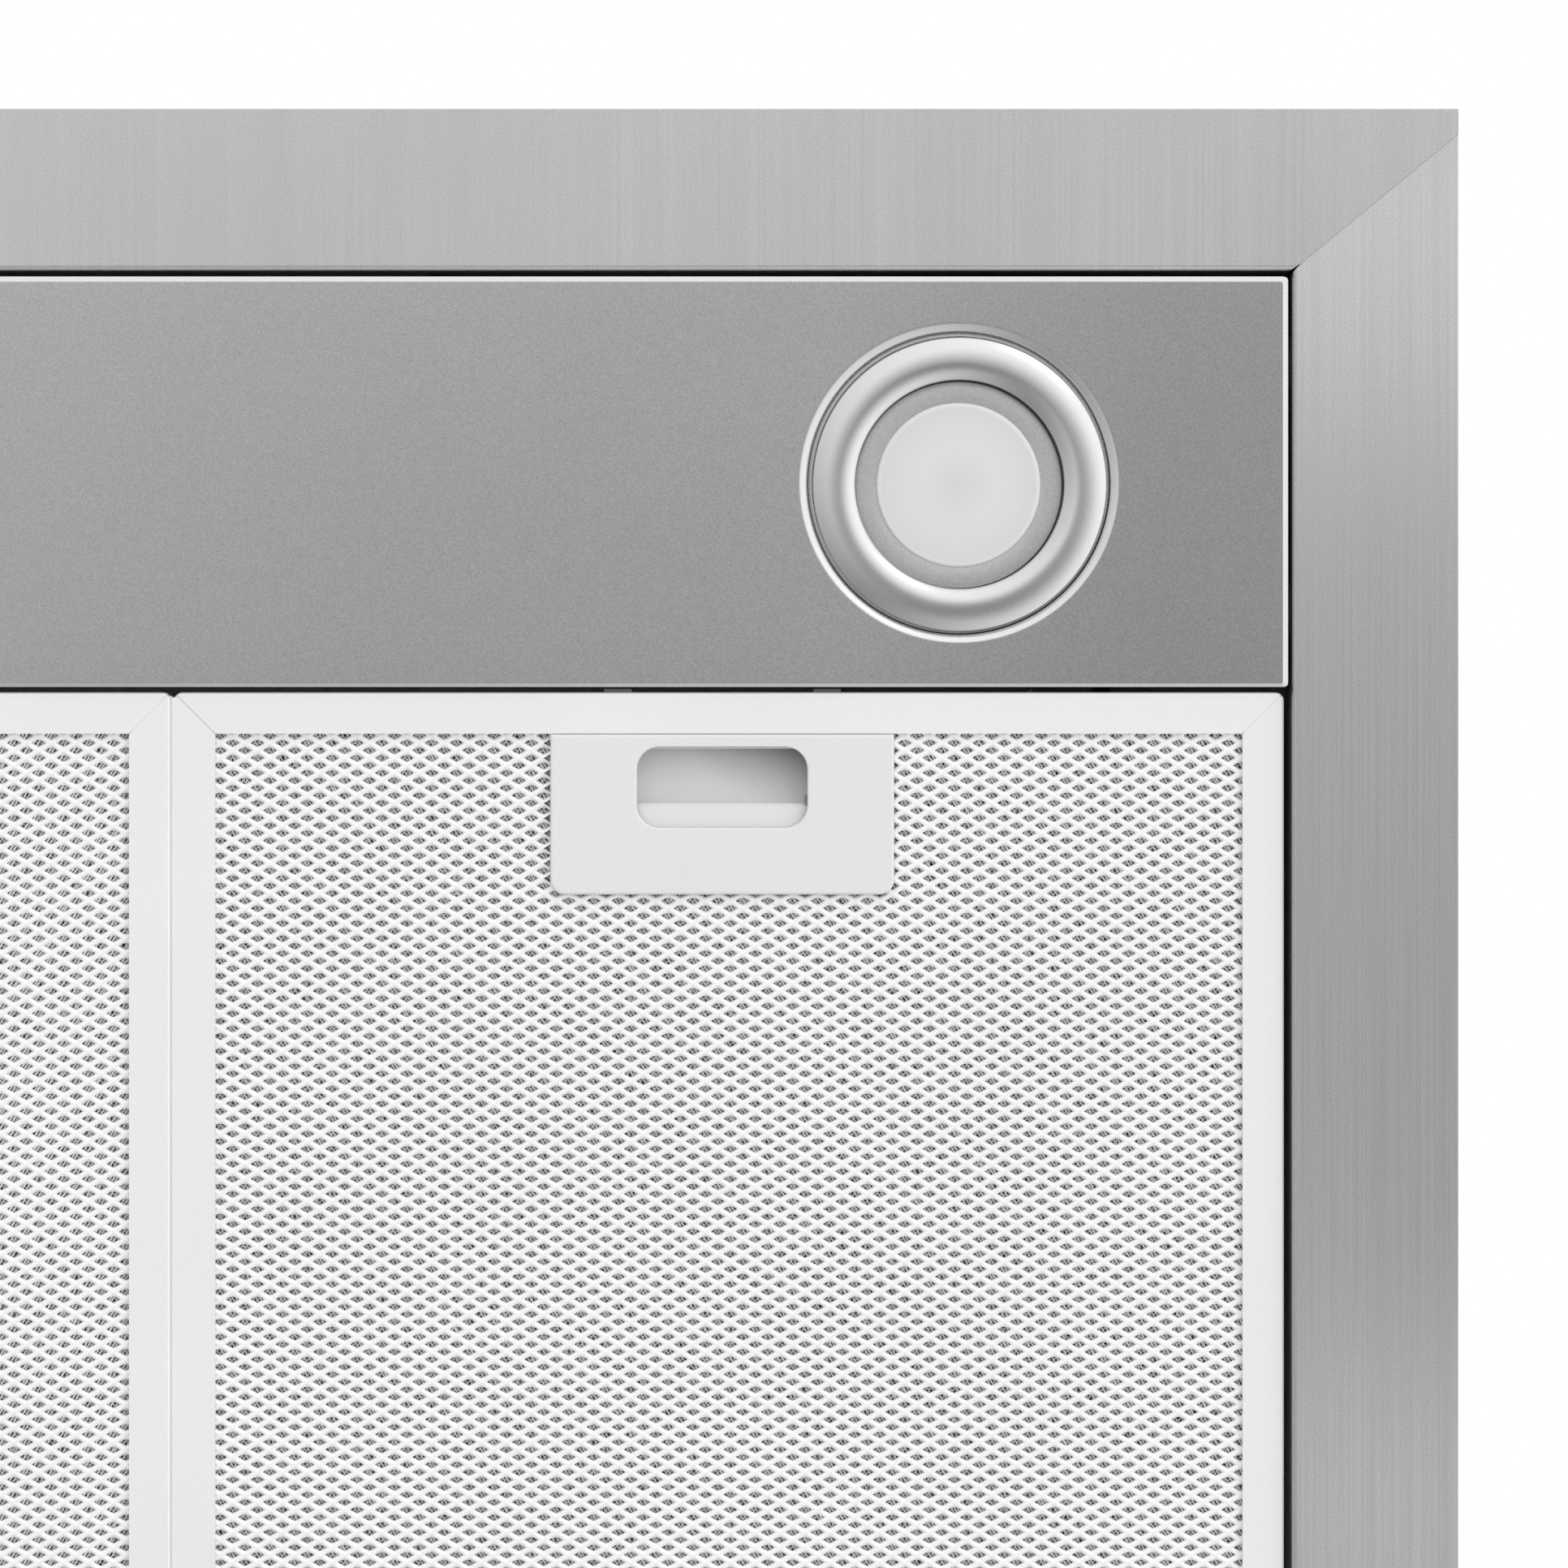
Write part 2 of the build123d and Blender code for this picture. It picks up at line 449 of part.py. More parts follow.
# Latch slider: carries the finger ledge and two tongues.
with BuildPart() as latch_slider_right:
    with Locations((LATCH_X, -330.25, at(9.15))):
        Box(66.0, 23.5, 1.5)
    with BuildSketch(Plane.YZ.offset(LATCH_X - 21.0)):
        with BuildLine():
            Polyline((LEDGE_Y, at(8.6)), (LEDGE_Y, at(5.0)), (LEDGE_Y + 0.9, at(4.2)), (-321.4, at(3.6)), (-319.6, at(3.6)), (-319.6, at(8.6)), close=True)
        make_face()
    extrude(amount=42.0)
    for s in (-1, 1):
        with BuildSketch(Plane.YZ.offset(LATCH_X + s * TONGUE_OFF - TONGUE_W / 2)):
            with BuildLine():
                Polyline((TONGUE_TIP, at(7.0)), (TONGUE_TIP, at(8.0)), (TONGUE_TIP + 0.6, at(8.6)), (-333.0, at(8.6)), (-333.0, at(5.8)), (TONGUE_TIP + 1.2, at(5.8)), close=True)
            make_face()
        extrude(amount=TONGUE_W)
    # side cheeks of the finger pocket
    with Locations(*[(LATCH_X + s * 20.6, -335.0, at(6.1)) for s in (-1, 1)]):
        Box(0.8, 13.6, 5.0)
    with Locations((LATCH_X, -341.4, at(6.1))):
        Box(42.0, 0.8, 5.0)
latch_slider_right.part.label = "latch_slider_right"
export_step(latch_slider_right.part, "parts/latch_slider_right.step")

with BuildPart() as latch_slider_left:
    mirror(latch_slider_right.part, about=Plane.YZ)
latch_slider_left.part.label = "latch_slider_left"
export_step(latch_slider_left.part, "parts/latch_slider_left.step")

with BuildPart() as latch_spring_right:
    extrude(bent(Plane.XY.offset(at(4.6)), [
        (LATCH_X - 16, -312.6), (LATCH_X - 8, -319.1), (LATCH_X, -312.6), (LATCH_X + 8, -319.1), (LATCH_X + 16, -312.6)],
        [1.5, 1.5, 1.5], Side.RIGHT, 0.4), amount=3.6)
latch_spring_right.part.label = "latch_spring_right"
export_step(latch_spring_right.part, "parts/latch_spring_right.step")

with BuildPart() as latch_spring_left:
    mirror(latch_spring_right.part, about=Plane.YZ)
latch_spring_left.part.label = "latch_spring_left"
export_step(latch_spring_left.part, "parts/latch_spring_left.step")

with BuildPart() as latch_cover_right:
    with Locations((LATCH_X, (CASE_FRONT + CASE_REAR) / 2, at(CASE_TOP + 0.5))):
        Box(CASE_W, CASE_REAR - CASE_FRONT, 1.0)
    fillet(latch_cover_right.edges().filter_by(Axis.Z), 1.5)
latch_cover_right.part.label = "latch_cover_right"
export_step(latch_cover_right.part, "parts/latch_cover_right.step")

with BuildPart() as latch_cover_left:
    mirror(latch_cover_right.part, about=Plane.YZ)
latch_cover_left.part.label = "latch_cover_left"
export_step(latch_cover_left.part, "parts/latch_cover_left.step")

# Hooks on the rear rail: each pair cradles one pivot of a filter from below.
with BuildPart() as filter_hooks:
    for x in (*LUG_X, *[-x for x in LUG_X]):
        with Locations((x, YR - 0.35, at(6.7))):
            Box(17.0, 0.7, 10.6)
        with BuildSketch(Plane.YZ.offset(x - 8.5)):
            with Locations((PIVOT_Y, at(PIVOT_H))):
                Circle(PIVOT_R + 1.1)
                Circle(PIVOT_R + 0.1, mode=Mode.SUBTRACT)
            with Locations((PIVOT_Y, at(PIVOT_H) + 5)):
                Rectangle(10, 10, mode=Mode.SUBTRACT)
            with Locations((YR + 5, at(PIVOT_H))):
                Rectangle(10, 10, mode=Mode.SUBTRACT)
        extrude(amount=4.5)
        with BuildSketch(Plane.YZ.offset(x + 4.0)):
            with Locations((PIVOT_Y, at(PIVOT_H))):
                Circle(PIVOT_R + 1.1)
                Circle(PIVOT_R + 0.1, mode=Mode.SUBTRACT)
            with Locations((PIVOT_Y, at(PIVOT_H) + 5)):
                Rectangle(10, 10, mode=Mode.SUBTRACT)
            with Locations((YR + 5, at(PIVOT_H))):
                Rectangle(10, 10, mode=Mode.SUBTRACT)
        extrude(amount=4.5)
filter_hooks.part.label = "filter_hooks"
export_step(filter_hooks.part, "parts/filter_hooks.step")

# ------------------------------------------------------------------ controls
with BuildPart() as control_bezel:
    with BuildSketch(Plane.XZ.offset(DEPTH)):
        with Locations((0, at(BUTTON_H))):
            SlotOverall(144, 26)
        with Locations(*[(x, at(BUTTON_H)) for x in BUTTON_X]):
            Circle(BUTTON_R + 0.4, mode=Mode.SUBTRACT)
    extrude(amount=1.2)
    fillet(control_bezel.faces().sort_by(Axis.Y)[0].outer_wire().edges(), 0.6)
control_bezel.part.label = "control_bezel"
export_step(control_bezel.part, "parts/control_bezel.step")

for button_name, bx in zip(("power", "speed_1", "speed_2", "speed_3", "light"), BUTTON_X):
    with BuildPart() as button:
        with BuildSketch(Plane.XZ.offset(DEPTH - 3.5)):
            with Locations((bx, at(BUTTON_H))):
                Circle(BUTTON_R)
        extrude(amount=4.4)
        fillet(button.faces().sort_by(Axis.Y)[0].edges(), 0.6)
        with BuildSketch(Plane.XZ.offset(DEPTH - 12.0)):
            with Locations((bx, at(BUTTON_H))):
                Circle(2.4)
        extrude(amount=9.0)
    button.part.label = "button_" + button_name
    export_step(button.part, "parts/button_" + button_name + ".step")

with BuildPart() as switch_block:
    with Locations((0, YF + 13.05, at(BUTTON_H))):
        Box(132, 13.9, 23)
    fillet(switch_block.edges().filter_by(Axis.Y), 2.0)
    with BuildSketch(Plane.XZ.offset(DEPTH - 6.1)):
        with Locations((-64, at(18)), (64, at(18)), (-64, at(36)), (64, at(36))):
            Circle(1.9)
    extrude(amount=5.3)
    with BuildSketch(Plane.XZ.offset(DEPTH - 16.0)):
        with Locations(*[(x, at(BUTTON_H)) for x in BUTTON_X]):
            Circle(2.7)
    extrude(amount=12.0, mode=Mode.SUBTRACT)
switch_block.part.label = "switch_block"
export_step(switch_block.part, "parts/switch_block.step")

with BuildPart() as control_board:
    with Locations((0, YF + 20.8, at(BUTTON_H))):
        Box(132, 1.6, 28)
    with Locations((-40, YF + 23.6, at(27)), (-10, YF + 23.1, at(25))):
        Box(16, 4.0, 12)
    with Locations((30, YF + 23.1, at(27))):
        Box(9, 3.0, 9)
control_board.part.label = "control_board"
export_step(control_board.part, "parts/control_board.step")

# ------------------------------------------------------------------ blower
def around(r, a):
    """Point of the blower's section at a radius and an angle from the rear towards the top."""
    return (AXIS_Y + r * cos(radians(a)), at(AXIS_H) + r * sin(radians(a)))


CUTOFF = around(82, 60)
with BuildPart() as blower_scroll:
    with BuildSketch(Plane.YZ.offset(-SCROLL_HALF + 0.2)) as scroll_section:
        with BuildLine():
            Line((-50, at(OUTLET_H)), CUTOFF)
            ThreePointArc(CUTOFF, around(84, 30), around(86, 0))
            ThreePointArc(around(86, 0), around(89, -45), around(92, -90))
            ThreePointArc(around(92, -90), around(95, -135), around(98, -180))
            Line(around(98, -180), (AXIS_Y - 98, at(OUTLET_H)))
            offset(amount=1.0, side=Side.RIGHT)
        make_face()
    extrude(amount=2 * SCROLL_HALF - 0.4)
    with Locations((0, AXIS_Y, at(OUTLET_H + 5))):
        Box(300, 300, 10, mode=Mode.SUBTRACT)
    # flange round the outlet
    with BuildSketch(Plane.XY.offset(at(OUTLET_H - 1.2))):
        with Locations((0, -134)):
            Rectangle(182, 192)
            Rectangle(116, 168, mode=Mode.SUBTRACT)
    extrude(amount=1.2)
    with Locations(*[(x, y, at(OUTLET_H)) for x in (-82, 82) for y in (-204, -46)]):
        Cylinder(1.75, 10, mode=Mode.SUBTRACT)
blower_scroll.part.label = "blower_scroll"
export_step(blower_scroll.part, "parts/blower_scroll.step")

with BuildPart() as blower_sides:
    for x in (-SCROLL_HALF + 0.2, SCROLL_HALF - 1.2):
        with BuildSketch(Plane.YZ.offset(x)):
            with BuildLine():
                Line((-51.5, at(OUTLET_H - 1.4)), CUTOFF)
                ThreePointArc(CUTOFF, around(83.9, 30), around(85.9, 0))
                ThreePointArc(around(85.9, 0), around(88.9, -45), around(91.9, -90))
                ThreePointArc(around(91.9, -90), around(94.9, -135), around(97.9, -180))
                Line(around(97.9, -180), (AXIS_Y - 97.9, at(OUTLET_H - 1.4)))
                Line((AXIS_Y - 97.9, at(OUTLET_H - 1.4)), (-51.5, at(OUTLET_H - 1.4)))
            make_face()
            with Locations((AXIS_Y, at(AXIS_H))):
                Circle(60, mode=Mode.SUBTRACT)
            with Locations((-150, at(225)), (-90, at(225))):
                Circle(1.75, mode=Mode.SUBTRACT)
        extrude(amount=1.0)
    with BuildSketch(Plane.YZ.offset(-SCROLL_HALF)):
        with Locations((AXIS_Y, at(AXIS_H))):
            with PolarLocations(68, 3, start_angle=90):
                Circle(1.75)
    extrude(amount=5, mode=Mode.SUBTRACT)
blower_sides.part.label = "blower_sides"
export_step(blower_sides.part, "parts/blower_sides.step")

with BuildPart() as blower_rails:
    for s in (-1, 1):
        x0 = s * (SCROLL_HALF - 0.2)
        extrude(outline(Plane.XZ.offset(8), [
            (x0, at(PLATE_TOP)), (x0 + s * 17, at(PLATE_TOP)), (x0 + s * 17, at(PLATE_TOP + 1.2)), (x0 + s * 1.2, at(PLATE_TOP + 1.2)),
            (x0 + s * 1.2, at(236)), (x0, at(236))]), amount=224)
    with Locations(Location((0, -150, at(225)), (0, 90, 0)), Location((0, -90, at(225)), (0, 90, 0))):
        Cylinder(2.1, 200, mode=Mode.SUBTRACT)
blower_rails.part.label = "blower_rails"
export_step(blower_rails.part, "parts/blower_rails.step")

with BuildPart() as blower_screws:
    for s in (-1, 1):
        for y in (-150, -90):
            with BuildSketch(Plane(origin=(s * (SCROLL_HALF + 1.0), y, at(225)), x_dir=(0, 1, 0), z_dir=(s, 0, 0))):
                Circle(3.6)
            extrude(amount=2.2)
            with BuildSketch(Plane(origin=(s * (SCROLL_HALF + 1.0), y, at(225)), x_dir=(0, 1, 0), z_dir=(-s, 0, 0))):
                Circle(1.7)
            extrude(amount=5.0)
    with Locations(*[(x, y, at(OUTLET_H + 2.6)) for x in (-82, 82) for y in (-204, -46)]):
        Cylinder(3.6, 2.2)
    with Locations(*[(x, y, at(OUTLET_H - 1.5)) for x in (-82, 82) for y in (-204, -46)]):
        Cylinder(1.7, 6.0)
    # motor bracket screws
    for a in (90, 210, 330):
        y, z = around(68, a)
        with BuildSketch(Plane(origin=(-SCROLL_HALF - 1.8, y, z), x_dir=(0, 1, 0), z_dir=(-1, 0, 0))):
            Circle(3.4)
        extrude(amount=2.2)
        with BuildSketch(Plane(origin=(-SCROLL_HALF - 1.8, y, z), x_dir=(0, 1, 0), z_dir=(1, 0, 0))):
            Circle(1.7)
        extrude(amount=4.5)
blower_screws.part.label = "blower_screws"
export_step(blower_screws.part, "parts/blower_screws.step")

with BuildPart() as impeller:
    with BuildSketch(Plane.YZ.offset(-WHEEL_HALF)):
        with Locations((AXIS_Y, at(AXIS_H))):
            with PolarLocations((WHEEL_R + WHEEL_IN_R) / 2, 30):
                Rectangle(11.6, 1.2, rotation=38)
    extrude(amount=2 * WHEEL_HALF)
    for x in (-WHEEL_HALF, WHEEL_HALF - 4.0):
        with BuildSketch(Plane.YZ.offset(x)):
            with Locations((AXIS_Y, at(AXIS_H))):
                Circle(WHEEL_R)
                Circle(WHEEL_IN_R, mode=Mode.SUBTRACT)
        extrude(amount=4.0)
    with BuildSketch(Plane.YZ.offset(-1.0)):
        with Locations((AXIS_Y, at(AXIS_H))):
            Circle(WHEEL_R)
    extrude(amount=2.0)
    with BuildSketch(Plane.YZ.offset(-8.0)):
        with Locations((AXIS_Y, at(AXIS_H))):
            Circle(11)
    extrude(amount=18.0)
    with BuildSketch(Plane.YZ.offset(-20.0)):
        with Locations((AXIS_Y, at(AXIS_H))):
            Circle(SHAFT_R)
    extrude(amount=40.0, mode=Mode.SUBTRACT)
impeller.part.label = "impeller"
export_step(impeller.part, "parts/impeller.step")

MOTOR_X0, MOTOR_X1 = -SCROLL_HALF + 0.2, -14.0
with BuildPart() as motor:
    with BuildSketch(Plane.YZ.offset(MOTOR_X0)):
        with Locations((AXIS_Y, at(AXIS_H))):
            Circle(44)
    extrude(amount=MOTOR_X1 - MOTOR_X0)
    fillet(motor.edges().filter_by(GeomType.CIRCLE).sort_by(Axis.X)[-1], 5.0)
    with BuildSketch(Plane.YZ.offset(MOTOR_X0 - 1)):
        with Locations((AXIS_Y, at(AXIS_H))):
            Circle(SHAFT_R + 0.4)
    extrude(amount=60, mode=Mode.SUBTRACT)
    # seats of the two bearings
    with BuildSketch(Plane.YZ.offset(MOTOR_X0 + 5)):
        with Locations((AXIS_Y, at(AXIS_H))):
            Circle(9)
    extrude(amount=MOTOR_X1 - MOTOR_X0 - 5, mode=Mode.SUBTRACT)
motor.part.label = "motor"
export_step(motor.part, "parts/motor.step")

with BuildPart() as motor_bearings:
    for x in (MOTOR_X0 + 5, MOTOR_X1 - 7):
        with BuildSketch(Plane.YZ.offset(x)):
            with Locations((AXIS_Y, at(AXIS_H))):
                Circle(9)
                Circle(SHAFT_R + 0.05, mode=Mode.SUBTRACT)
        extrude(amount=7)
motor_bearings.part.label = "motor_bearings"
export_step(motor_bearings.part, "parts/motor_bearings.step")

with BuildPart() as motor_shaft:
    with BuildSketch(Plane.YZ.offset(MOTOR_X0 + 3)):
        with Locations((AXIS_Y, at(AXIS_H))):
            Circle(SHAFT_R)
    extrude(amount=12 - MOTOR_X0 - 3)
    chamfer(motor_shaft.edges().filter_by(GeomType.CIRCLE), 0.4)
motor_shaft.part.label = "motor_shaft"
export_step(motor_shaft.part, "parts/motor_shaft.step")

with BuildPart() as motor_bracket:
    with BuildSketch(Plane.YZ.offset(-SCROLL_HALF - 1.8)):
        with Locations((AXIS_Y, at(AXIS_H))):
            Circle(34)
            with PolarLocations(50, 3, start_angle=90):
                Rectangle(52, 14)
            with PolarLocations(68, 3, start_angle=90):
                Circle(2.0, mode=Mode.SUBTRACT)
            Circle(7, mode=Mode.SUBTRACT)
    extrude(amount=2.0)
motor_bracket.part.label = "motor_bracket"
export_step(motor_bracket.part, "parts/motor_bracket.step")

# ------------------------------------------------------------------ duct collar with backdraft flaps
with BuildPart() as duct_collar:
    with BuildSketch(Plane.XY.offset(at(OUTLET_H))):
        with Locations((0, -134)):
            RectangleRounded(184, 194, 6)
        with Locations((0, DUCT_Y)):
            Circle(COLLAR_R - COLLAR_T, mode=Mode.SUBTRACT)
        with Locations(*[(x, y) for x in (-82, 82) for y in (-204, -46)]):
            Circle(2.1, mode=Mode.SUBTRACT)
    extrude(amount=1.5)
    with BuildSketch(Plane.XY.offset(at(OUTLET_H + 1.5))):
        with Locations((0, DUCT_Y)):
            Circle(COLLAR_R)
            Circle(COLLAR_R - COLLAR_T, mode=Mode.SUBTRACT)
    extrude(amount=COLLAR_L)
    with BuildSketch(Plane.XY.offset(at(FLAP_H - 3.6))):
        with Locations((0, DUCT_Y)):
            Circle(COLLAR_R - COLLAR_T)
            Circle(FLAP_R - 3.5, mode=Mode.SUBTRACT)
    extrude(amount=2.4)
    with Locations(*[Location((0, DUCT_Y + s * FLAP_OFF, at(FLAP_H)), (0, 90, 0)) for s in (-1, 1)]):
        Cylinder(1.5, 200, mode=Mode.SUBTRACT)
duct_collar.part.label = "duct_collar"
export_step(duct_collar.part, "parts/duct_collar.step")

with BuildPart() as damper_flap_front:
    with BuildSketch(Plane.XY.offset(at(FLAP_H - 0.6))):
        with Locations((0, DUCT_Y)):
            Circle(FLAP_R)
        with Locations((0, DUCT_Y - FLAP_OFF + 100)):
            Rectangle(200, 200, mode=Mode.SUBTRACT)
    extrude(amount=1.2)
    with Locations(Location((0, DUCT_Y - FLAP_OFF, at(FLAP_H)), (0, 90, 0))):
        Cylinder(2.6, 120)
        Cylinder(1.55, 200, mode=Mode.SUBTRACT)
damper_flap_front.part.label = "damper_flap_front"
export_step(damper_flap_front.part, "parts/damper_flap_front.step")

with BuildPart() as damper_flap_rear:
    mirror(damper_flap_front.part, about=Plane.XZ.offset(-DUCT_Y))
damper_flap_rear.part.label = "damper_flap_rear"
export_step(damper_flap_rear.part, "parts/damper_flap_rear.step")

with BuildPart() as damper_pins:
    with Locations(*[Location((0, DUCT_Y + s * FLAP_OFF, at(FLAP_H)), (0, 90, 0)) for s in (-1, 1)]):
        Cylinder(1.5, 148.4)
damper_pins.part.label = "damper_pins"
export_step(damper_pins.part, "parts/damper_pins.step")

# ------------------------------------------------------------------ electrics inside the canopy
BOX_X0, BOX_X1, BOX_H0, BOX_H1, BOX_D = 110.0, 200.0, 60.0, 105.0, 44.0
with BuildPart() as terminal_box:
    with Locations(((BOX_X0 + BOX_X1) / 2, -BACK_T - BOX_D / 2, at((BOX_H0 + BOX_H1) / 2))):
        Box(BOX_X1 - BOX_X0, BOX_D, BOX_H1 - BOX_H0)
    fillet(terminal_box.edges().filter_by(Axis.Y), 4.0)
    offset(amount=-2.0, openings=terminal_box.faces().sort_by(Axis.Y)[0])
terminal_box.part.label = "terminal_box"
export_step(terminal_box.part, "parts/terminal_box.step")

with BuildPart() as terminal_cover:
    with Locations(((BOX_X0 + BOX_X1) / 2, -BACK_T - BOX_D - 1.0, at((BOX_H0 + BOX_H1) / 2))):
        Box(BOX_X1 - BOX_X0, 2.0, BOX_H1 - BOX_H0)
    fillet(terminal_cover.edges().filter_by(Axis.Y), 4.0)
terminal_cover.part.label = "terminal_cover"
export_step(terminal_cover.part, "parts/terminal_cover.step")

with BuildPart() as motor_capacitor:
    with BuildSketch(Plane.YZ.offset(-196)):
        with Locations((-BACK_T - 20, at(84))):
            Circle(16)
    extrude(amount=62)
    fillet(motor_capacitor.edges().filter_by(GeomType.CIRCLE), 2.0)
    with Locations((-165, -BACK_T - 6, at(84))):
        Box(16, 12, 20)
motor_capacitor.part.label = "motor_capacitor"
export_step(motor_capacitor.part, "parts/motor_capacitor.step")

with BuildPart() as cable_gland:
    with BuildSketch(Plane.XY.offset(at(PLATE_TOP))):
        with Locations((GLAND_X, GLAND_Y)):
            RegularPolygon(11.0, 6)
    extrude(amount=6.0)
    with BuildSketch(Plane.XY.offset(at(PLATE_TOP + 6))):
        with Locations((GLAND_X, GLAND_Y)):
            Circle(9.4)
    extrude(amount=12.0)
    fillet(cable_gland.edges().filter_by(GeomType.CIRCLE).sort_by(Axis.Z)[-1], 3.0)
    with BuildSketch(Plane.XY.offset(at(PLATE_TOP))):
        with Locations((GLAND_X, GLAND_Y)):
            Circle(8.0)
    extrude(amount=-12.0)
    with BuildSketch(Plane.XY.offset(at(TOP_H))):
        with Locations((GLAND_X, GLAND_Y)):
            RegularPolygon(11.0, 6)
    extrude(amount=-4.0)
    with Locations((GLAND_X, GLAND_Y, at(PLATE_TOP + 3))):
        Cylinder(4.0, 40.0, mode=Mode.SUBTRACT)
cable_gland.part.label = "cable_gland"
export_step(cable_gland.part, "parts/cable_gland.step")

# Internal leads, clipped along the inside of the canopy.
LEAD_R = 2.2
LEADS = (
    [(LAMP_X + 14.3, LAMP_Y, at(70)), (222, LAMP_Y, at(70)), (222, -62, at(70)), (222, -23, at(82)), (BOX_X1, -23, at(82))],
    [(-LAMP_X - 14.3, LAMP_Y, at(70)), (-222, LAMP_Y, at(70)), (-222, -66, at(70)), (-196, -66, at(48)), (84, -66, at(48)), (84, -23, at(74)), (BOX_X0, -23, at(74))],
    [(-SCROLL_HALF - 1.8, AXIS_Y, at(AXIS_H) - 25), (-84, AXIS_Y, at(AXIS_H) - 25), (-84, AXIS_Y, at(160)), (60, -70, at(124)), (84, -23, at(96)), (BOX_X0, -23, at(96))],
    [(60, YF + 21.6, at(27)), (60, -446, at(27)), (80, -440, at(48)), (284, -440, at(48)), (284, -60, at(48)), (262, -34, at(64)), (238, -34, at(70)), (BOX_X1, -34, at(72))],
)
with BuildPart() as leads:
    for route in LEADS:
        with BuildLine() as run:
            FilletPolyline(*route, radius=7.0)
        with BuildSketch(Plane(origin=run.line @ 0, z_dir=run.line % 0)) as section:
            Circle(LEAD_R)
        sweep(section.sketch, path=run.line)
leads.part.label = "leads"
export_step(leads.part, "parts/leads.step")
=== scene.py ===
import json
import math

import bmesh
import bpy
import numpy as np
from mathutils import Matrix, Vector

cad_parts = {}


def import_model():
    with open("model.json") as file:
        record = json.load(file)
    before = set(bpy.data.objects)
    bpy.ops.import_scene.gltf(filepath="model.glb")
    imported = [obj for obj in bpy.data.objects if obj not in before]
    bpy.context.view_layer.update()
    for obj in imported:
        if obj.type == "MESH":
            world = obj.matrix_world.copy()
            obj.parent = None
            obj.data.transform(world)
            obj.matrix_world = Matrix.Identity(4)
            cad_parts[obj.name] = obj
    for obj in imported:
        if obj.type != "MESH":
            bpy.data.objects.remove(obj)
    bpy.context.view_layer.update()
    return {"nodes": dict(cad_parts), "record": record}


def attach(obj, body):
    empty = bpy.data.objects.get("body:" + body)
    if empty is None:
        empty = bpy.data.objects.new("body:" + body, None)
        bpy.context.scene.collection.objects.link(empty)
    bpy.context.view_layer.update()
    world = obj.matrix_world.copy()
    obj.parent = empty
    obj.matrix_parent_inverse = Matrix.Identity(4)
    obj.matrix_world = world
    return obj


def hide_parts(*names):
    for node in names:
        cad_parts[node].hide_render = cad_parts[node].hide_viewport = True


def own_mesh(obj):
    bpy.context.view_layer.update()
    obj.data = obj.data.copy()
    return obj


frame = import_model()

NODES = frame["nodes"]
BODY_OF = {n: b for b, ns in frame["record"]["behaviour"]["bodies"].items() for n in ns}
SLOT_OF = {s["node"]: s["material_slot"] for s in frame["record"]["subparts"]}
HOLE_H = 130.0


def P(x, y, h):
    """A point given in mm, with its height above the rim's lower face, in the shared frame in metres."""
    return (x / 1000.0, y / 1000.0, (h - HOLE_H) / 1000.0)


# ------------------------------------------------------------------ materials
def new_material(name):
    m = bpy.data.materials.new(name)
    m.use_nodes = True
    nt = m.node_tree
    b = nt.nodes["Principled BSDF"]
    return m, nt, b


def noise(nt, scale_xyz, detail=2.0, rough=0.5, distortion=0.0):
    """Noise on the shared frame's coordinates, in cycles per metre along each axis."""
    tc = nt.nodes.new("ShaderNodeTexCoord")
    mp = nt.nodes.new("ShaderNodeMapping")
    mp.inputs["Scale"].default_value = scale_xyz
    nz = nt.nodes.new("ShaderNodeTexNoise")
    nz.inputs["Scale"].default_value = 1.0
    nz.inputs["Detail"].default_value = detail
    nz.inputs["Roughness"].default_value = rough
    nz.inputs["Distortion"].default_value = distortion
    nt.links.new(tc.outputs["Object"], mp.inputs["Vector"])
    nt.links.new(mp.outputs["Vector"], nz.inputs["Vector"])
    return nz.outputs["Fac"]


def ranged(nt, fac, lo, hi, fmin=0.3, fmax=0.7):
    r = nt.nodes.new("ShaderNodeMapRange")
    r.inputs["From Min"].default_value = fmin
    r.inputs["From Max"].default_value = fmax
    r.inputs["To Min"].default_value = lo
    r.inputs["To Max"].default_value = hi
    nt.links.new(fac, r.inputs["Value"])
    return r.outputs["Result"]


def times(nt, a, b):
    m = nt.nodes.new("ShaderNodeMath")
    m.operation = "MULTIPLY"
    nt.links.new(a, m.inputs[0])
    nt.links.new(b, m.inputs[1])
    return m.outputs["Value"]


def tint(nt, value, rgb):
    """A colour scaled by a value near 1."""
    m = nt.nodes.new("ShaderNodeVectorMath")
    m.operation = "SCALE"
    m.inputs[0].default_value = rgb
    nt.links.new(value, m.inputs["Scale"])
    return m.outputs["Vector"]


def bump(nt, bsdf, height, distance, strength=1.0):
    b = nt.nodes.new("ShaderNodeBump")
    b.inputs["Strength"].default_value = strength
    b.inputs["Distance"].default_value = distance
    nt.links.new(height, b.inputs["Height"])
    nt.links.new(b.outputs["Normal"], bsdf.inputs["Normal"])


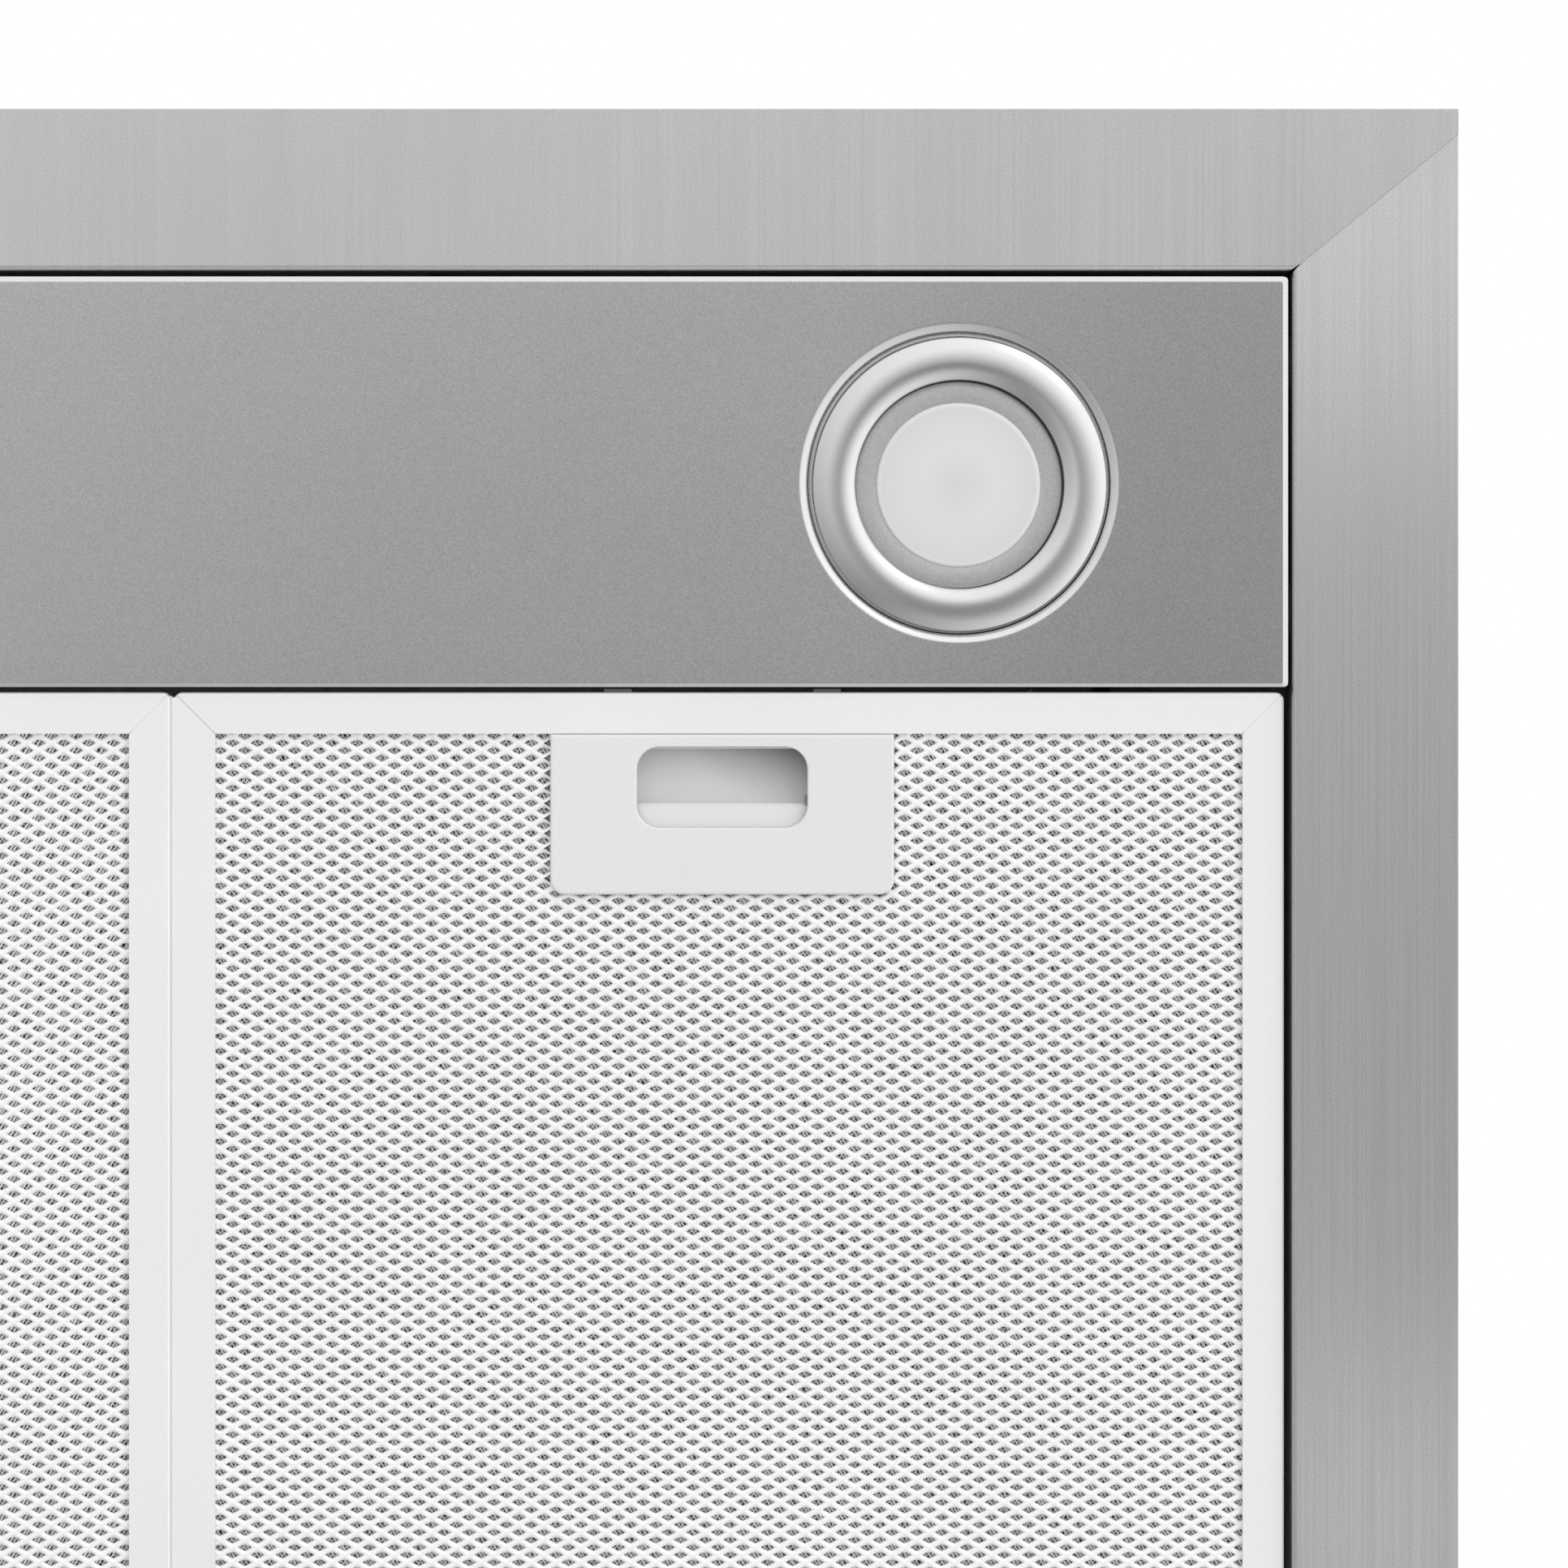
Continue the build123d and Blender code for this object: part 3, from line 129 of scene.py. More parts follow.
def brushed(name, rgb, grain, rough=0.34, depth=0.02, bump_um=0.5, metallic=1.0, speck=0.06, painted_reflection_swell=None):
    """Brushed sheet: fine scratches along the axis whose grain number is small, soft wide bands, and an even fine
    grain.
    The last argument (axis, start in metres, length in metres, low, high) gives a painted reflection, a slow change of
    tone along the sheet."""
    m, nt, b = new_material(name)
    fine = noise(nt, grain, detail=4.0, rough=0.65)
    wide = noise(nt, tuple(g * 0.05 for g in grain), detail=2.0)
    even = noise(nt, (2700.0, 2700.0, 2700.0), detail=2.0, rough=0.6)
    cloud = noise(nt, (9.0, 7.0, 8.0), detail=2.0)
    v = times(nt, ranged(nt, fine, 1 - depth, 1 + depth), ranged(nt, wide, 1 - depth, 1 + depth))
    v = times(nt, v, ranged(nt, even, 1 - speck, 1 + speck))
    v = times(nt, v, ranged(nt, cloud, 0.975, 1.025))
    if painted_reflection_swell:
        # painted reflection: the tone swells and fades along one axis of the sheet
        axis, start, length, low, high = painted_reflection_swell
        tc = nt.nodes.new("ShaderNodeTexCoord")
        sep = nt.nodes.new("ShaderNodeSeparateXYZ")
        nt.links.new(tc.outputs["Object"], sep.inputs["Vector"])

        def op(kind, a, c):
            n = nt.nodes.new("ShaderNodeMath")
            n.operation = kind
            for k, q in enumerate((a, c)):
                if q is None:
                    continue
                if isinstance(q, (int, float)):
                    n.inputs[k].default_value = q
                else:
                    nt.links.new(q, n.inputs[k])
            return n.outputs["Value"]

        turn = op("MULTIPLY", op("SUBTRACT", sep.outputs[axis], start), 2 * math.pi / length)
        wave = op("POWER", op("ADD", op("MULTIPLY", op("COSINE", turn, None), 0.5), 0.5), 3.0)
        v = times(nt, v, op("ADD", op("MULTIPLY", wave, high - low), low))
    nt.links.new(tint(nt, v, rgb), b.inputs["Base Color"])
    nt.links.new(ranged(nt, fine, rough - 0.03, rough + 0.03), b.inputs["Roughness"])
    b.inputs["Metallic"].default_value = metallic
    bump(nt, b, fine, bump_um * 1e-6, 1.0)
    return m


def speckled(name, rgb, rough, metallic, grain=1500.0, depth=0.05, bump_um=1.5, rough_var=0.05, ends=None):
    """Painted, anodised or moulded surface: fine even speckle and a slow cloud; ends adds a painted shade that changes
    the tone away from the middle.
    """
    m, nt, b = new_material(name)
    fine = noise(nt, (grain, grain, grain), detail=3.0, rough=0.6)
    cloud = noise(nt, (14.0, 12.0, 14.0), detail=2.0)
    v = times(nt, ranged(nt, fine, 1 - depth, 1 + depth), ranged(nt, cloud, 0.985, 1.015))
    if ends:
        # painted shade: (from, to, tone) gives the distance from the middle in metres between which the tone changes
        tc = nt.nodes.new("ShaderNodeTexCoord")
        sep = nt.nodes.new("ShaderNodeSeparateXYZ")
        nt.links.new(tc.outputs["Object"], sep.inputs["Vector"])
        far = nt.nodes.new("ShaderNodeMath")
        far.operation = "ABSOLUTE"
        nt.links.new(sep.outputs["X"], far.inputs[0])
        v = times(nt, v, ranged(nt, far.outputs["Value"], 1.0, ends[2], ends[0], ends[1]))
    nt.links.new(tint(nt, v, rgb), b.inputs["Base Color"])
    nt.links.new(ranged(nt, fine, rough - rough_var, rough + rough_var), b.inputs["Roughness"])
    b.inputs["Metallic"].default_value = metallic
    bump(nt, b, fine, bump_um * 1e-6, 1.0)
    return m


def galvanised(name, rgb, rough=0.42):
    """Zinc-coated sheet with soft spangles."""
    m, nt, b = new_material(name)
    tc = nt.nodes.new("ShaderNodeTexCoord")
    mp = nt.nodes.new("ShaderNodeMapping")
    mp.inputs["Scale"].default_value = (140.0, 140.0, 140.0)
    vo = nt.nodes.new("ShaderNodeTexVoronoi")
    vo.inputs["Scale"].default_value = 1.0
    nt.links.new(tc.outputs["Object"], mp.inputs["Vector"])
    nt.links.new(mp.outputs["Vector"], vo.inputs["Vector"])
    bw = nt.nodes.new("ShaderNodeRGBToBW")
    nt.links.new(vo.outputs["Color"], bw.inputs["Color"])
    fine = noise(nt, (700.0, 700.0, 700.0), detail=3.0)
    v = times(nt, ranged(nt, bw.outputs["Val"], 0.93, 1.06, 0.1, 0.9), ranged(nt, fine, 0.96, 1.04))
    nt.links.new(tint(nt, v, rgb), b.inputs["Base Color"])
    nt.links.new(ranged(nt, bw.outputs["Val"], rough - 0.07, rough + 0.07, 0.1, 0.9), b.inputs["Roughness"])
    b.inputs["Metallic"].default_value = 0.85
    bump(nt, b, fine, 3e-6, 1.0)
    return m


GREY = lambda v: (v, v, v)
STEEL_FRONT = brushed("steel_front", GREY(0.55), (1900.0, 10.0, 10.0), depth=0.02, speck=0.12)
# the rim's underside: a copy of the side steel with a painted reflection that swells and fades along Y
STEEL_RIM_PAINTED_REFLECTION = brushed("steel_rim_painted_reflection", GREY(0.535), (1900.0, 10.0, 1900.0), depth=0.03, speck=0.12, painted_reflection_swell=("Y", -0.460, 0.30, 0.895, 1.165))
# a darker copy of the rim steel for the rim's inner bend: painted shade
STEEL_BEND_PAINTED_SHADE = brushed("steel_bend_painted_shade", GREY(0.44), (1900.0, 10.0, 1900.0), depth=0.03, speck=0.12)
STEEL_SIDE = brushed("steel_side", GREY(0.57), (1900.0, 10.0, 1900.0))
STEEL_CHIMNEY = brushed("steel_chimney", GREY(0.54), (1700.0, 1700.0, 9.0))
STEEL_REAR = brushed("steel_rear", GREY(0.60), (10.0, 1900.0, 1900.0))
# the lamp panel darkens towards its ends, from 155 mm out from the middle: painted shade
PANEL = speckled("panel_steel", GREY(0.455), 0.28, 1.0, grain=3400.0, depth=0.16, bump_um=0.4, rough_var=0.03, ends=(0.155, 0.232, 0.83))
# a lighter copy of the panel steel for the folded edges and the lamp dishes: painted highlight
PANEL_PAINTED_HIGHLIGHT = speckled("panel_edge_painted_highlight", GREY(0.57), 0.26, 1.0, grain=2700.0, depth=0.05, bump_um=0.3, rough_var=0.03)
TRIM = speckled("trim_satin", GREY(0.53), 0.20, 1.0, grain=2600.0, depth=0.03, bump_um=0.6)
BEZEL = speckled("bulb_bezel", GREY(0.49), 0.36, 0.75, grain=2600.0, depth=0.12, bump_um=1.0)
ANODISED = speckled("anodised_frame", GREY(0.818), 0.42, 0.20, grain=1800.0, depth=0.012, bump_um=0.6)
MESH = speckled("mesh_aluminium", GREY(0.87), 0.40, 0.15, grain=900.0, depth=0.02, bump_um=0.5)
CORE = speckled("core_aluminium", GREY(0.88), 0.40, 0.15, grain=900.0, depth=0.08, bump_um=0.5)
LATCH = speckled("latch_plastic", GREY(0.735), 0.28, 0.0, grain=2400.0, depth=0.012, bump_um=0.5)


def painted_shadow_tray_material():
    """The latch plastic with a painted shadow up inside the finger pocket, darkest at its front outer corner."""
    m, nt, b = new_material("latch_tray_painted_shadow")
    fine = noise(nt, (2400.0, 2400.0, 2400.0), detail=3.0, rough=0.6)
    tc = nt.nodes.new("ShaderNodeTexCoord")
    sep = nt.nodes.new("ShaderNodeSeparateXYZ")
    nt.links.new(tc.outputs["Object"], sep.inputs["Vector"])
    deep = ranged(nt, sep.outputs["Z"], 0.0, 1.0, (5.4 - HOLE_H) / 1000, (8.2 - HOLE_H) / 1000)

    def op(kind, a, c=None, clamp=False):
        n = nt.nodes.new("ShaderNodeMath")
        n.operation, n.use_clamp = kind, clamp
        for k, q in enumerate((a, c)):
            if q is None:
                continue
            if isinstance(q, (int, float)):
                n.inputs[k].default_value = q
            else:
                nt.links.new(q, n.inputs[k])
        return n.outputs["Value"]

    # how near the pocket's front outer corner, 0 to 1, where the painted shadow is darkest
    out = op("DIVIDE", op("SUBTRACT", 0.1505, op("ABSOLUTE", sep.outputs["X"])), 0.030)
    back = op("DIVIDE", op("ADD", sep.outputs["Y"], 0.3425), 0.016)
    away = op("SQRT", op("ADD", op("MULTIPLY", out, out), op("MULTIPLY", back, back)))
    near = op("SUBTRACT", 1.0, away, clamp=True)
    front = op("SUBTRACT", 1.0, back, clamp=True)
    # painted shadow: darker the deeper inside the pocket, towards its front, and most at its front outer corner
    shade = op("ADD", op("ADD", 0.04, op("MULTIPLY", front, 0.17)), op("MULTIPLY", near, 0.52))
    tone = op("SUBTRACT", 1.0, op("MULTIPLY", deep, shade))
    nt.links.new(tint(nt, times(nt, ranged(nt, fine, 0.96, 1.04), tone), GREY(0.70)), b.inputs["Base Color"])
    nt.links.new(ranged(nt, fine, 0.27, 0.33), b.inputs["Roughness"])
    bump(nt, b, fine, 0.6e-6, 1.0)
    return m


TRAY_PAINTED_SHADOW = painted_shadow_tray_material()
ZINC = galvanised("galvanised_sheet", GREY(0.58))
SCREW = brushed("zinc_screw", GREY(0.62), (600.0, 600.0, 600.0), rough=0.3, depth=0.04)
BUTTON = brushed("button_metal", GREY(0.56), (40.0, 2200.0, 2200.0), rough=0.28, depth=0.04)
DARK = speckled("dark_plastic", (0.028, 0.028, 0.03), 0.42, 0.0, grain=1500.0, depth=0.12, bump_um=4.0)
JACKET = speckled("lead_jacket", (0.05, 0.05, 0.052), 0.5, 0.0, grain=1200.0, depth=0.1, bump_um=4.0)
BOARD = speckled("board_green", (0.03, 0.13, 0.06), 0.35, 0.0, grain=1500.0, depth=0.1, bump_um=2.0)
MOTOR = brushed("motor_steel", GREY(0.36), (60.0, 600.0, 600.0), rough=0.4, depth=0.05)
BOXPL = speckled("box_plastic", (0.62, 0.62, 0.60), 0.45, 0.0, grain=1300.0, depth=0.03, bump_um=4.0)
CERAMIC = speckled("holder_ceramic", (0.78, 0.77, 0.73), 0.35, 0.0, grain=1300.0, depth=0.03, bump_um=3.0)
PRINT = speckled("icon_print", (0.03, 0.03, 0.032), 0.45, 0.0, grain=2000.0, depth=0.1, bump_um=0.5)


def lens_material():
    """Frosted lamp lens: milky, a little greyer towards the middle, with a painted highlight round its rim, and fine
    grit.
    """
    m, nt, b = new_material("lens_frosted")
    fine = noise(nt, (2600.0, 2600.0, 2600.0), detail=3.0, rough=0.6)
    geo = nt.nodes.new("ShaderNodeTexCoord")
    sep = nt.nodes.new("ShaderNodeSeparateXYZ")
    nt.links.new(geo.outputs["Object"], sep.inputs["Vector"])
    absx = nt.nodes.new("ShaderNodeMath"); absx.operation = "ABSOLUTE"
    nt.links.new(sep.outputs["X"], absx.inputs[0])
    dx = nt.nodes.new("ShaderNodeMath"); dx.operation = "SUBTRACT"; dx.inputs[1].default_value = 0.18365
    nt.links.new(absx.outputs["Value"], dx.inputs[0])
    dy = nt.nodes.new("ShaderNodeMath"); dy.operation = "ADD"; dy.inputs[1].default_value = 0.40255
    nt.links.new(sep.outputs["Y"], dy.inputs[0])
    vec = nt.nodes.new("ShaderNodeCombineXYZ")
    nt.links.new(dx.outputs["Value"], vec.inputs["X"])
    nt.links.new(dy.outputs["Value"], vec.inputs["Y"])
    ln = nt.nodes.new("ShaderNodeVectorMath"); ln.operation = "LENGTH"
    nt.links.new(vec.outputs["Vector"], ln.inputs[0])
    ramp = nt.nodes.new("ShaderNodeValToRGB")
    ramp.color_ramp.elements[0].position = 0.0
    ramp.color_ramp.elements[0].color = (0.625, 0.625, 0.625, 1)
    ramp.color_ramp.elements[1].position = 1.0
    # the stop at the rim is much lighter: a painted highlight on the lens's edge
    ramp.color_ramp.elements[1].color = (0.775, 0.775, 0.775, 1)
    for pos, v in ((0.45, 0.68), (0.70, 0.665), (0.93, 0.64)):
        e = ramp.color_ramp.elements.new(pos)
        e.color = (v, v, v, 1)
    scale = nt.nodes.new("ShaderNodeMath"); scale.operation = "MULTIPLY"; scale.inputs[1].default_value = 1 / 0.0192
    nt.links.new(ln.outputs["Value"], scale.inputs[0])
    nt.links.new(scale.outputs["Value"], ramp.inputs["Fac"])
    mix = nt.nodes.new("ShaderNodeVectorMath"); mix.operation = "SCALE"
    nt.links.new(ramp.outputs["Color"], mix.inputs[0])
    nt.links.new(ranged(nt, fine, 0.985, 1.015), mix.inputs["Scale"])
    nt.links.new(mix.outputs["Vector"], b.inputs["Base Color"])
    nt.links.new(ranged(nt, fine, 0.38, 0.46), b.inputs["Roughness"])
    b.inputs["Subsurface Weight"].default_value = 0.0
    bump(nt, b, fine, 1.5e-6, 1.0)
    return m


LENS_PAINTED_RIM_HIGHLIGHT = lens_material()

SLOT_MATERIAL = {
    "brushed_steel": STEEL_CHIMNEY, "panel_steel": PANEL, "galvanised_sheet": ZINC, "zinc_screw": SCREW, "satin_trim": TRIM,
    "bulb_white": BEZEL, "lens_frosted": LENS_PAINTED_RIM_HIGHLIGHT, "holder_ceramic": CERAMIC, "anodised_frame": ANODISED, "filter_mesh": MESH,
    "latch_plastic": LATCH, "dark_plastic": DARK, "lead_jacket": JACKET, "button_metal": BUTTON, "board_green": BOARD,
    "motor_steel": MOTOR, "box_plastic": BOXPL,
}


# ------------------------------------------------------------------ mesh helpers
def make_object(name, verts, faces, body, material, replaces=(), smooth=38.0, weighted=True, merge=0.0):
    me = bpy.data.meshes.new(name)
    me.from_pydata([tuple(v) for v in verts], [], [tuple(f) for f in faces])
    return finish_mesh(name, me, body, material, replaces, smooth, weighted, merge)


def finish_mesh(name, me, body, material, replaces=(), smooth=38.0, weighted=True, merge=0.0, fix_normals=True):
    if merge or fix_normals:
        bm = bmesh.new()
        bm.from_mesh(me)
        if merge:
            bmesh.ops.remove_doubles(bm, verts=bm.verts, dist=merge)
        if fix_normals:
            bmesh.ops.recalc_face_normals(bm, faces=bm.faces)
        bm.to_mesh(me)
        bm.free()
    me.shade_smooth()
    if smooth is not None and smooth < 180:
        me.set_sharp_from_angle(angle=math.radians(smooth))
    me.materials.clear()
    me.materials.append(material)
    ob = bpy.data.objects.new(name, me)
    bpy.context.scene.collection.objects.link(ob)
    if weighted:
        w = ob.modifiers.new("normals", "WEIGHTED_NORMAL")
        w.keep_sharp = True
        w.weight = 50
    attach(ob, body)
    if replaces:
        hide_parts(*replaces)
    return ob


class Build:
    """Collects vertices and faces in mm and heights above the rim."""

    def __init__(self):
        self.v, self.f = [], []

    def add(self, verts, faces):
        n = len(self.v)
        self.v += [P(*p) for p in verts]
        self.f += [[i + n for i in f] for f in faces]

    def loops(self, loops, close=True, cap_first=False, cap_last=False, wrap=False):
        """Skins a run of loops that have equal counts of points."""
        n = len(loops[0])
        verts = [p for lp in loops for p in lp]
        faces = []
        rows = len(loops)
        for r in range(rows if wrap else rows - 1):
            a, b = r * n, ((r + 1) % rows) * n
            for i in range(n if close else n - 1):
                j = (i + 1) % n
                faces.append([a + i, a + j, b + j, b + i])
        if cap_first:
            faces.append(list(range(n))[::-1])
        if cap_last:
            faces.append([(rows - 1) * n + i for i in range(n)])
        self.add(verts, faces)

    def box(self, x0, x1, y0, y1, h0, h1, c=0.2):
        """A box with chamfered edges, as three pairs of nested loops."""
        def ring(dx, dy, h):
            return [(x0 + dx, y0 + dy, h), (x1 - dx, y0 + dy, h), (x1 - dx, y1 - dy, h), (x0 + dx, y1 - dy, h)]
        self.loops([ring(c, c, h0), ring(0, 0, h0 + c), ring(0, 0, h1 - c), ring(c, c, h1)], cap_first=True, cap_last=True)

    def lathe(self, cx, cy, profile, n=112, wrap=False):
        """Turns a profile of (radius, height) about an upright axis. Radius 0 makes a pole."""
        loops = []
        for r, h in profile:
            r = max(r, 1e-3)
            loops.append([(cx + r * math.cos(2 * math.pi * i / n), cy + r * math.sin(2 * math.pi * i / n), h) for i in range(n)])
        self.loops(loops, wrap=wrap, cap_first=(not wrap and profile[0][0] < 0.01), cap_last=(not wrap and profile[-1][0] < 0.01))


def arc(c, r, a0, a1, n):
    return [(c[0] + r * math.cos(math.radians(a0 + (a1 - a0) * i / n)), c[1] + r * math.sin(math.radians(a0 + (a1 - a0) * i / n))) for i in range(n + 1)]


def rounded(points, radii, n=8):
    """A run of points with its inner corners rounded, and the flat runs' ends kept."""
    pts = [Vector(p) for p in points]
    out = [tuple(pts[0])]
    for i in range(1, len(pts) - 1):
        r = radii[i - 1]
        a, b, c = pts[i - 1], pts[i], pts[i + 1]
        u, w = (a - b).normalized(), (c - b).normalized()
        half = math.acos(max(-1, min(1, u.dot(w)))) / 2
        t = r / math.tan(half)
        mid = (u + w).normalized()
        centre = b + mid * (r / math.sin(half))
        p0, p1 = b + u * t, b + w * t
        a0 = math.atan2(p0.y - centre.y, p0.x - centre.x)
        a1 = math.atan2(p1.y - centre.y, p1.x - centre.x)
        d = (a1 - a0 + math.pi) % (2 * math.pi) - math.pi
        out += [(centre.x + r * math.cos(a0 + d * k / n), centre.y + r * math.sin(a0 + d * k / n)) for k in range(n + 1)]
    out.append(tuple(pts[-1]))
    return out


def offset_run(run, t):
    """The run moved sideways by t, to the right of its direction for t above 0."""
    pts = [Vector(p) for p in run]
    out = []
    for i, p in enumerate(pts):
        ns = []
        if i > 0:
            d = (p - pts[i - 1]).normalized(); ns.append(Vector((d.y, -d.x)))
        if i < len(pts) - 1:
            d = (pts[i + 1] - p).normalized(); ns.append(Vector((d.y, -d.x)))
        if len(ns) == 2:
            m = (ns[0] + ns[1]).normalized()
            k = 1 / max(0.3, m.dot(ns[0]))
            out.append(tuple(p + m * t * k))
        else:
            out.append(tuple(p + ns[0] * t))
    return out


def rounded_rect(x0, x1, y0, y1, r, n=8):
    """Corner radii in the order front left, front right, rear right, rear left (front is y0)."""
    if not isinstance(r, (tuple, list)):
        r = (r, r, r, r)
    out = []
    for (cx, cy, sx, sy, a0), rr in zip(((x0, y0, 1, 1, 180), (x1, y0, -1, 1, 270), (x1, y1, -1, -1, 0), (x0, y1, 1, -1, 90)), r):
        rr = max(rr, 0.02)
        out += arc((cx + sx * rr, cy + sy * rr), rr, a0, a0 + 90, n)
    return out


def fill_between(build, outer, holes, h, place=None):
    """A flat face at height h between one outer loop and some holes, all (x, y) lists. place puts the points elsewhere."""
    place = place or (lambda x, y: (x, y, h))
    bm = bmesh.new()
    for lp in [outer, *holes]:
        vs = [bm.verts.new((x, y, 0)) for x, y in lp]
        for i in range(len(vs)):
            bm.edges.new((vs[i], vs[(i + 1) % len(vs)]))
    bmesh.ops.triangle_fill(bm, use_beauty=True, use_dissolve=False, edges=bm.edges[:], normal=(0, 0, 1))
    bm.verts.ensure_lookup_table()
    bm.verts.index_update()
    build.add([place(v.co.x, v.co.y) for v in bm.verts], [[v.index for v in f.verts] for f in bm.faces])
    bm.free()


def refine(node, material=None, bevel=0.25, angle=32.0, smooth=32.0, name=None, segments=2):
    """Stands for a CAD node with the same shape, its sharp edges eased and its bends shaded smooth."""
    src = NODES[node]
    bm = bmesh.new()
    bm.from_mesh(src.data)
    bmesh.ops.remove_doubles(bm, verts=bm.verts, dist=3e-6)
    bmesh.ops.dissolve_limit(bm, angle_limit=math.radians(0.6), use_dissolve_boundaries=False, verts=bm.verts, edges=bm.edges, delimit=set())
    if bevel:
        sharp = [e for e in bm.edges if len(e.link_faces) == 2 and e.calc_face_angle(0) > math.radians(angle)]
        bmesh.ops.bevel(bm, geom=sharp, offset=bevel / 1000, offset_type="OFFSET", segments=segments, profile=0.5, affect="EDGES", clamp_overlap=True, loop_slide=True)
    me = bpy.data.meshes.new(name or node + "_piece")
    bm.to_mesh(me)
    bm.free()
    return finish_mesh(name or node + "_piece", me, BODY_OF[node], material or SLOT_MATERIAL[SLOT_OF[node]], (node,), smooth)


# ------------------------------------------------------------------ canopy shells
XO, YF = 300.0, -490.0
XI, YI, YR = 261.3, -452.3, -34.5
SEAM_Y = -484.1
SKIRT_H, TOP_H, LIP_H, SHEET = 52.0, 196.0, 13.0, 0.8
HIP_X, HIP_Y = 126.0, 240.0
RIM_EDGE = 0.14


def seam_gap(x):
    """Half the mitre's gap, a little wider towards the outside."""
    return 0.085 + 0.055 * max(0.0, min(1.0, (x - XI) / (XO - XI)))


def seam_x(y):
    """Half width of the front rim at a depth, along the mitre seam."""
    if y <= SEAM_Y:
        return XO
    return XI + (XO - XI) * (YI - y) / (YI - SEAM_Y)


def hip_x(y):
    return XO + (y - YF) * (HIP_X - XO) / (-HIP_Y - YF)


def hip_y(x):
    return YF + (x - XO) * (-HIP_Y - YF) / (HIP_X - XO)


def front_shell_piece():
    run = [(YI, LIP_H), (YI, 0), (YF, 0), (YF, SKIRT_H), (-HIP_Y, TOP_H)]
    outer = rounded(run, [1.25, RIM_EDGE, 2.0], 9)
    inner = rounded(offset_run(run, SHEET), [0.45, 0.05, 1.2], 9)
    # points on the rim where the seam reaches the outer edge
    k = next(i for i in range(len(outer) - 1) if outer[i][0] > SEAM_Y > outer[i + 1][0] and abs(outer[i][1]) < 0.01)
    outer[k + 1:k + 1] = [(SEAM_Y + 0.02, 0.0), (SEAM_Y - 0.02, 0.0)]
    inner[k + 1:k + 1] = [(SEAM_Y + 0.02, SHEET), (SEAM_Y - 0.02, SHEET)]

    def half(y, h):
        if h > SKIRT_H - 2.2:
            return hip_x(max(y, YF)) - 0.03
        if y > YI - 1.4 and h < LIP_H + 1:
            return min(seam_x(min(y, YI)), XI) - 0.7 if h > 1.0 else seam_x(min(y, YI)) - seam_gap(XI) - 0.5 * max(0.0, (y - (YI - 1.6)) / 1.6)
        if h < 3:
            return seam_x(y) - (seam_gap(seam_x(y)) if y > SEAM_Y else 0.0)
        return XO

    b = Build()
    left = [(-half(y, h), y, h) for y, h in outer], [(-half(y, h), y, h) for y, h in inner]
    right = [(half(y, h), y, h) for y, h in outer], [(half(y, h), y, h) for y, h in inner]
    n = len(outer)
    verts = left[0] + left[1] + right[0] + right[1]
    faces = []
    flat = next(i for i in range(n - 1) if abs(outer[i][0] - YF) < 1e-3 and outer[i + 1][1] - outer[i][1] > 20)
    for i in range(n - 1):
        if i != flat:
            faces.append([i, i + 1, 2 * n + i + 1, 2 * n + i])                  # outside
            faces.append([n + i + 1, n + i, 3 * n + i, 3 * n + i + 1])          # inside
        faces.append([i + 1, i, n + i, n + i + 1])                              # left end
        faces.append([2 * n + i, 2 * n + i + 1, 3 * n + i + 1, 3 * n + i])      # right end
    faces.append([0, 2 * n, 3 * n, n])
    faces.append([n - 1, 2 * n - 1, 4 * n - 1, 3 * n - 1])
    b.add(verts, faces)
    # the straight skirt, with openings for the push buttons
    rings = [[(x + 6.9 * math.cos(2 * math.pi * i / 48), BUTTON_H + 6.9 * math.sin(2 * math.pi * i / 48)) for i in range(48)] for x in BUTTON_X]
    for base, y in ((0, YF), (n, YF + SHEET)):
        corner = [verts[base + flat], verts[base + flat + 1], verts[2 * n + base + flat + 1], verts[2 * n + base + flat]]
        fill_between(b, [(x, h) for x, _, h in corner], rings, 0.0, place=lambda x, h, y=y: (x, y, h))
    for ring in rings:
        b.loops([[(x, YF, h) for x, h in ring], [(x, YF + SHEET, h) for x, h in ring]])
    return make_object("canopy_front", b.v, b.f, "canopy", STEEL_FRONT, ("front_shell",), 30.0, merge=1e-6)


BUTTON_X = (-52.0, -26.0, 0.0, 26.0, 52.0)
BUTTON_H = 27.0


